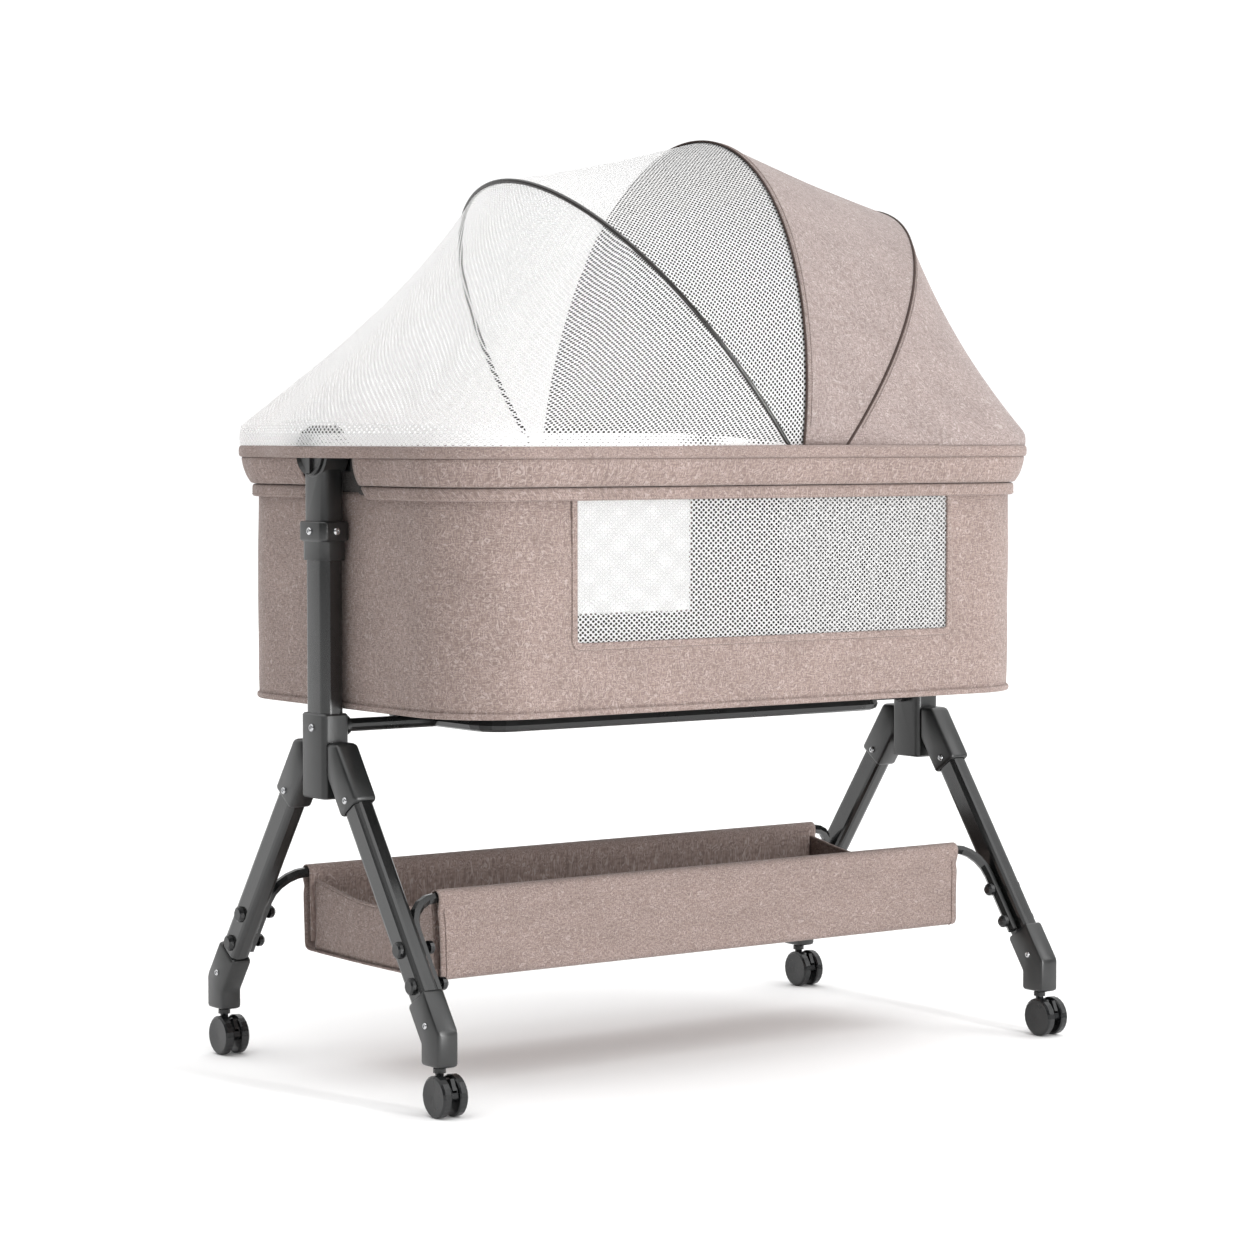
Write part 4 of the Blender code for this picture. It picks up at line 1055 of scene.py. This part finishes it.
trough = cut_sheet(160, len(section) - 1, (2 * TRAY_X, SECTION_LENGTH), tray_place)
face_out(trough, (0, 0, 0.20))
tray_cloth = thicken(
    piece("tray_cloth", trough, taupe, "stand", ["storage_tray"], angle=60), 1.6 * MM
)
outer = range(len(half) - 29, len(half) - 9)
for end, s_hem in (("left", 8 * MM / (2 * TRAY_X)), ("right", 1 - 8 * MM / (2 * TRAY_X))):
    for side, walk in (("back", outer), ("front", [len(section) - 1 - k for k in outer])):
        line = [tray_place(s_hem, k / (len(section) - 1)) for k in walk]
        line = [spot + Vector((0, math.copysign(0.7 * MM, spot.y), 0)) for spot in line]
        piece(f"tray_side_hem_{end}_{side}", cord_mesh(line, 0.8 * MM), taupe, "stand")
for end, sx in ENDS:

    def panel_place(s, t, sx=sx):
        y = (2 * s - 1) * (RAIL_Y - 6 * MM)
        top = 221 * MM - 17 * MM * math.sin(math.pi * s) ** 1.2
        z = 135 * MM + (top - 135 * MM) * t
        bulge = 3.5 * MM * math.sin(math.pi * s) * math.sin(math.pi * t)
        return Vector((sx * (TRAY_X - 8 * MM + bulge + soft((y, z, sx), 1.2 * MM, 50 * MM)), y, z))

    end_panel = cut_sheet(48, 16, (2 * RAIL_Y, 0.08), panel_place)
    face_out(end_panel, (0, 0, 0.2))
    thicken(piece(f"tray_end_{end}", end_panel, taupe, "stand"), 1.6 * MM)
    hem = [panel_place(k / 40, 1.0) + Vector((-sx * 0.8 * MM, 0, 0)) for k in range(41)]
    piece(f"tray_end_hem_{end}", cord_mesh(hem, 1.9 * MM), taupe, "stand")
print("tray:", round(2 * TRAY_X, 3), "m long; its cloth is cut", round(SECTION_LENGTH, 3), "m wide")

# %% [markdown]
# ## Mattress
# A foam pad in an off-white quilted cover lies on the board. It is made as the real thing would be: a
# box of cloth smaller than the pad, blown up by a little pressure with the Cloth simulation until its
# faces crown and its sides pull in. No point moves more than 5 mm, and it is smoothed at the end.

# %% Make the quilted cover's finish
quilt, tree, shader = new_finish("offwhite_quilted_cotton_cover", 0.9, specular=0.2)
place = add(tree, "TexCoord").outputs["Object"]
grid = add(
    tree, "Mapping",
    {"Vector": place, "Rotation": (0, 0, math.pi / 4), "Scale": (1 / (45 * MM), 1 / (45 * MM), 0)},
)
cells = add(
    tree, "TexVoronoi", {"Vector": grid.outputs[0], "Scale": 1.0, "Randomness": 0.0}, distance="CHEBYCHEV",
    voronoi_dimensions="2D",
)
seam = add(
    tree, "MapRange",
    {"Value": cells.outputs["Distance"], "From Min": 0.40, "From Max": 0.50, "To Min": 1.0, "To Max": 0.0},
    interpolation_type="SMOOTHSTEP",
)
fibre = add(tree, "TexNoise", {"Vector": place, "Scale": 1 / (1.5 * MM), "Detail": 2.0})
both = add(tree, "Math", {0: fibre.outputs["Fac"], 1: 0.06, 2: seam.outputs[0]}, operation="MULTIPLY_ADD")
relief = add(tree, "Bump", {"Height": both.outputs[0], "Strength": 0.7, "Distance": 2.5 * MM})
# The cover is painted darker along the quilting seams: painted shade in the dips that the bump makes.
tone = add(tree, "Mix", {0: seam.outputs[0], 6: linear("#d8d3ca"), 7: linear("#e9e5dd")}, data_type="RGBA")
tree.links.new(relief.outputs[0], shader.inputs["Normal"])
tree.links.new(tone.outputs[2], shader.inputs["Base Color"])
print("quilt cells: 45 mm")

# %% Blow up the mattress
mat_low, mat_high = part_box("mattress")


def mattress_shape(shrink):
    """A slab with round corners and rounded edges, smaller than the mattress by shrink all round."""
    slab = bmesh.new()
    ring = [
        slab.verts.new(outline(ROUND * k / 96, -9.5 * MM - shrink, mat_low.z + shrink)) for k in range(96)
    ]
    floor_face = slab.faces.new(ring)
    raised = bmesh.ops.extrude_face_region(slab, geom=[floor_face])["geom"]
    bmesh.ops.translate(
        slab, verts=[v for v in raised if isinstance(v, bmesh.types.BMVert)],
        vec=(0, 0, mat_high.z - mat_low.z - 2 * shrink),
    )
    rims = [e for e in slab.edges if abs(e.verts[0].co.z - e.verts[1].co.z) < 0.01 * MM]
    bmesh.ops.bevel(slab, geom=rims, offset=5 * MM, segments=3, profile=0.5, affect="EDGES", material=-1)
    bmesh.ops.recalc_face_normals(slab, faces=slab.faces)
    return slab


mattress = piece("mattress_pad", mattress_shape(2.5 * MM), quilt, None, ["mattress"])
grain = mattress.modifiers.new("Remesh", "REMESH")
grain.mode, grain.voxel_size = "VOXEL", 7 * MM
graph = bpy.context.evaluated_depsgraph_get()
start = bpy.data.meshes.new_from_object(mattress.evaluated_get(graph))
mattress.modifiers.clear()
mattress.data = start
rest = [v.co.copy() for v in start.vertices]
fabric = mattress.modifiers.new("Cloth", "CLOTH")
fabric.settings.quality = 4
fabric.settings.use_pressure = True
fabric.settings.uniform_pressure_force = 4.0
fabric.settings.effector_weights.gravity = 0.0
for frame_number in range(1, 21):
    bpy.context.scene.frame_set(frame_number)
graph = bpy.context.evaluated_depsgraph_get()
blown = bpy.data.meshes.new_from_object(mattress.evaluated_get(graph))
mattress.modifiers.clear()
mattress.data = blown
for vert, was in zip(blown.vertices, rest):
    moved = vert.co - was
    vert.co = was + moved * min(1.0, 5 * MM / max(moved.length, 1e-9))
    vert.co.z = min(max(vert.co.z, mat_low.z + 0.3 * MM), mat_high.z + 5 * MM)
bpy.context.scene.frame_set(1)
blown.shade_smooth()
smooth = mattress.modifiers.new("Smooth", "SUBSURF")
smooth.levels = smooth.render_levels = 1
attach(mattress, "basket")
print("mattress faces:", len(mattress.data.polygons))

# %% [markdown]
# ## Screws
# Zinc-plated socket screws hold the mouldings to the tubes. Their domed heads are the only bright
# metal, so they catch the eye. A half section of the head is spun round its axis, and a hexagon is
# sunk into its top.

# %% Drive the screws
def screw_head(at, out, radius=4.6 * MM):
    """A domed head with a hexagon socket, its flat side at the point at, and facing out."""
    head = bmesh.new()
    section = [(0.0, 0.0), (1.0, 0.0), (1.02, 0.16), (0.94, 0.36), (0.76, 0.52), (0.52, 0.60)]
    verts = [head.verts.new((r * radius, 0, h * radius)) for r, h in section]
    edges = [head.edges.new(pair) for pair in zip(verts, verts[1:])]
    bmesh.ops.spin(
        head, geom=verts + edges, cent=(0, 0, 0), axis=(0, 0, 1), angle=math.tau, steps=24, use_merge=True,
        use_duplicate=False,
    )
    bmesh.ops.remove_doubles(head, verts=head.verts, dist=0.001 * MM)
    ring = [e for e in head.edges if e.is_boundary]
    lip = bmesh.ops.contextual_create(head, geom=ring)["faces"]
    bmesh.ops.inset_region(head, faces=lip, thickness=0.12 * radius)
    sunk = bmesh.ops.extrude_face_region(head, geom=lip)["geom"]
    bmesh.ops.translate(
        head, verts=[g for g in sunk if isinstance(g, bmesh.types.BMVert)], vec=(0, 0, -0.35 * radius)
    )
    bmesh.ops.delete(head, geom=[f for f in lip if f.is_valid], context="FACES")
    bmesh.ops.recalc_face_normals(head, faces=head.faces)
    turn = Vector(out).to_track_quat("Z", "Y").to_matrix().to_4x4()
    head.transform(Matrix.Translation(at) @ turn)
    return head


for end, sx in ENDS:
    piece(
        f"hub_screw_{end}", screw_head((POST_X * sx + sx * 18 * MM, 0.0, 0.421), (sx, 0, 0)), zinc, "stand",
    )
    piece(
        f"yoke_screw_{end}_face", screw_head((sx * (POST_X + 19.7 * MM), 0.0, 0.6515), (sx, 0, 0)), zinc,
        "carriage",
    )
    piece(
        f"yoke_screw_{end}_side", screw_head((sx * POST_X, sx * 28.2 * MM, 0.6515), (0, sx, 0)), zinc,
        "carriage",
    )
    for side, sy in SIDES:
        for face, way in (("outer", 1), ("inner", -1)):
            at = (sx * (POST_X + way * 15.5 * MM), sy * 70 * MM, 0.341)
            piece(
                f"socket_screw_{end}_{side}_{face}", screw_head(at, (sx * way, 0, 0), 4.2 * MM), zinc,
                "stand",
            )
            at = (sx * (POST_X + way * 14.0 * MM), sy * 238.5 * MM, 0.1015)
            piece(
                f"foot_screw_{end}_{side}_{face}", screw_head(at, (sx * way, 0, 0), 3.8 * MM), zinc,
                "stand",
            )

# %% [markdown]
# ## Light, floor and camera
# The bassinet stands on a pale seamless floor in a small studio. A white backdrop behind it lights it
# from behind and shows as reflections in the tubes' sides, and a wide white ceiling lights the floor.
# The side in front is darker, apart from two softboxes, so the tubes keep dark faces with bright lines
# along them. The world is plain white to the camera alone, and the Standard view transform shows the
# colours as they were picked.

# %% Set the floor, the lights and the camera
paper, tree, shader = new_finish("matt_white_studio_floor", 0.9, specular=0.1)
shader.inputs["Base Color"].default_value = linear("#fbfbfb")
ground = bmesh.new()
bmesh.ops.create_circle(ground, cap_ends=True, segments=64, radius=12)
floor_mesh = bpy.data.meshes.new("studio_floor")
ground.to_mesh(floor_mesh)
ground.free()
floor_mesh.materials.append(paper)
studio_floor = bpy.data.objects.new("studio_floor", floor_mesh)
bpy.context.scene.collection.objects.link(studio_floor)

world = bpy.data.worlds.new("bright_surround")
world.use_nodes = True
sky = world.node_tree
background = sky.nodes["Background"]
way = add(sky, "TexCoord").outputs["Generated"]
ahead = add(sky, "VectorMath", {0: way, 1: (0.586, 0.810, 0.0)}, operation="DOT_PRODUCT")
backdrop = add(
    sky, "MapRange",
    {"Value": ahead.outputs["Value"], "From Min": -0.2, "From Max": 0.5, "To Min": 0.16, "To Max": 1.1},
)
above = add(sky, "SeparateXYZ", {0: way}).outputs["Z"]
ceiling = add(
    sky, "MapRange", {"Value": above, "From Min": 0.45, "From Max": 0.85, "To Min": 0.0, "To Max": 2.1}
)
brighter = add(sky, "Math", {0: backdrop.outputs[0], 1: ceiling.outputs[0]}, operation="MAXIMUM")
seen = add(sky, "LightPath").outputs["Is Camera Ray"]
level = add(sky, "Math", {0: brighter.outputs[0], 1: seen}, operation="MAXIMUM")
sky.links.new(level.outputs[0], background.inputs["Strength"])
background.inputs["Color"].default_value = (1, 1, 1, 1)
bpy.context.scene.world = world
bpy.context.scene.view_settings.view_transform = "Standard"


def softbox(name, at, aim, size, watts):
    light = bpy.data.lights.new(name, "AREA")
    light.shape, light.size, light.size_y, light.energy = "RECTANGLE", size[0], size[1], watts
    lamp = bpy.data.objects.new(name, light)
    lamp.location = at
    lamp.rotation_euler = (Vector(aim) - Vector(at)).to_track_quat("-Z", "Y").to_euler()
    bpy.context.scene.collection.objects.link(lamp)


softbox("key_softbox", (2.3, -2.6, 2.2), (0, 0, 0.6), (1.4, 1.8), 24)
softbox("strip_softbox", (0.4, -3.6, 0.9), (0, 0, 0.5), (0.16, 1.8), 75)

AZIMUTH, ELEVATION, DISTANCE = math.radians(-35.857), math.radians(3.2115), 4.3224
back = Vector(
    (math.sin(AZIMUTH) * math.cos(ELEVATION), -math.cos(AZIMUTH) * math.cos(ELEVATION), math.sin(ELEVATION))
)
lens = bpy.data.cameras.new("studio_camera")
lens.sensor_width, lens.lens = 36.0, 36.0 * 3457.2 / 1254
camera = bpy.data.objects.new("studio_camera", lens)
camera.location = Vector((-0.0114, 0.0083, 0.5238)) + back * DISTANCE
camera.rotation_euler = back.to_track_quat("Z", "Y").to_euler()
bpy.context.scene.collection.objects.link(camera)
bpy.context.scene.camera = camera
print("camera", [round(c, 3) for c in camera.location], "lens", round(lens.lens, 2), "mm")

# %% [markdown]
# ## The panels between two bodies
# The hood's front cloth spans two bodies: its rear edge stays with the basket and its front edge goes with
# the hood's hoop.
# Here each middle panel's place is baked into its mesh, and each point's share of the way from hoop to hoop
# is worked out and its range printed. The net's end panel and hem get meshes of their own.

# %% Bake the panels and measure their shares
def fan(made, fixed_share):
    """Bakes a panel's place into its mesh, and returns the least and the greatest share of the way from
    fixed_share, the share across where it joins the fixed body.
    """
    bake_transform(made)
    weights = [abs(fixed_share - share.value) for share in made.data.attributes["share_across"].data]
    return min(weights), max(weights)


print("hood fan:", fan(hood_front_panel, 1.0))
print("net fan:", fan(net_middle_panel, 1.0))
for hung in (net_end_panel, net_hem):
    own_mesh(hung)
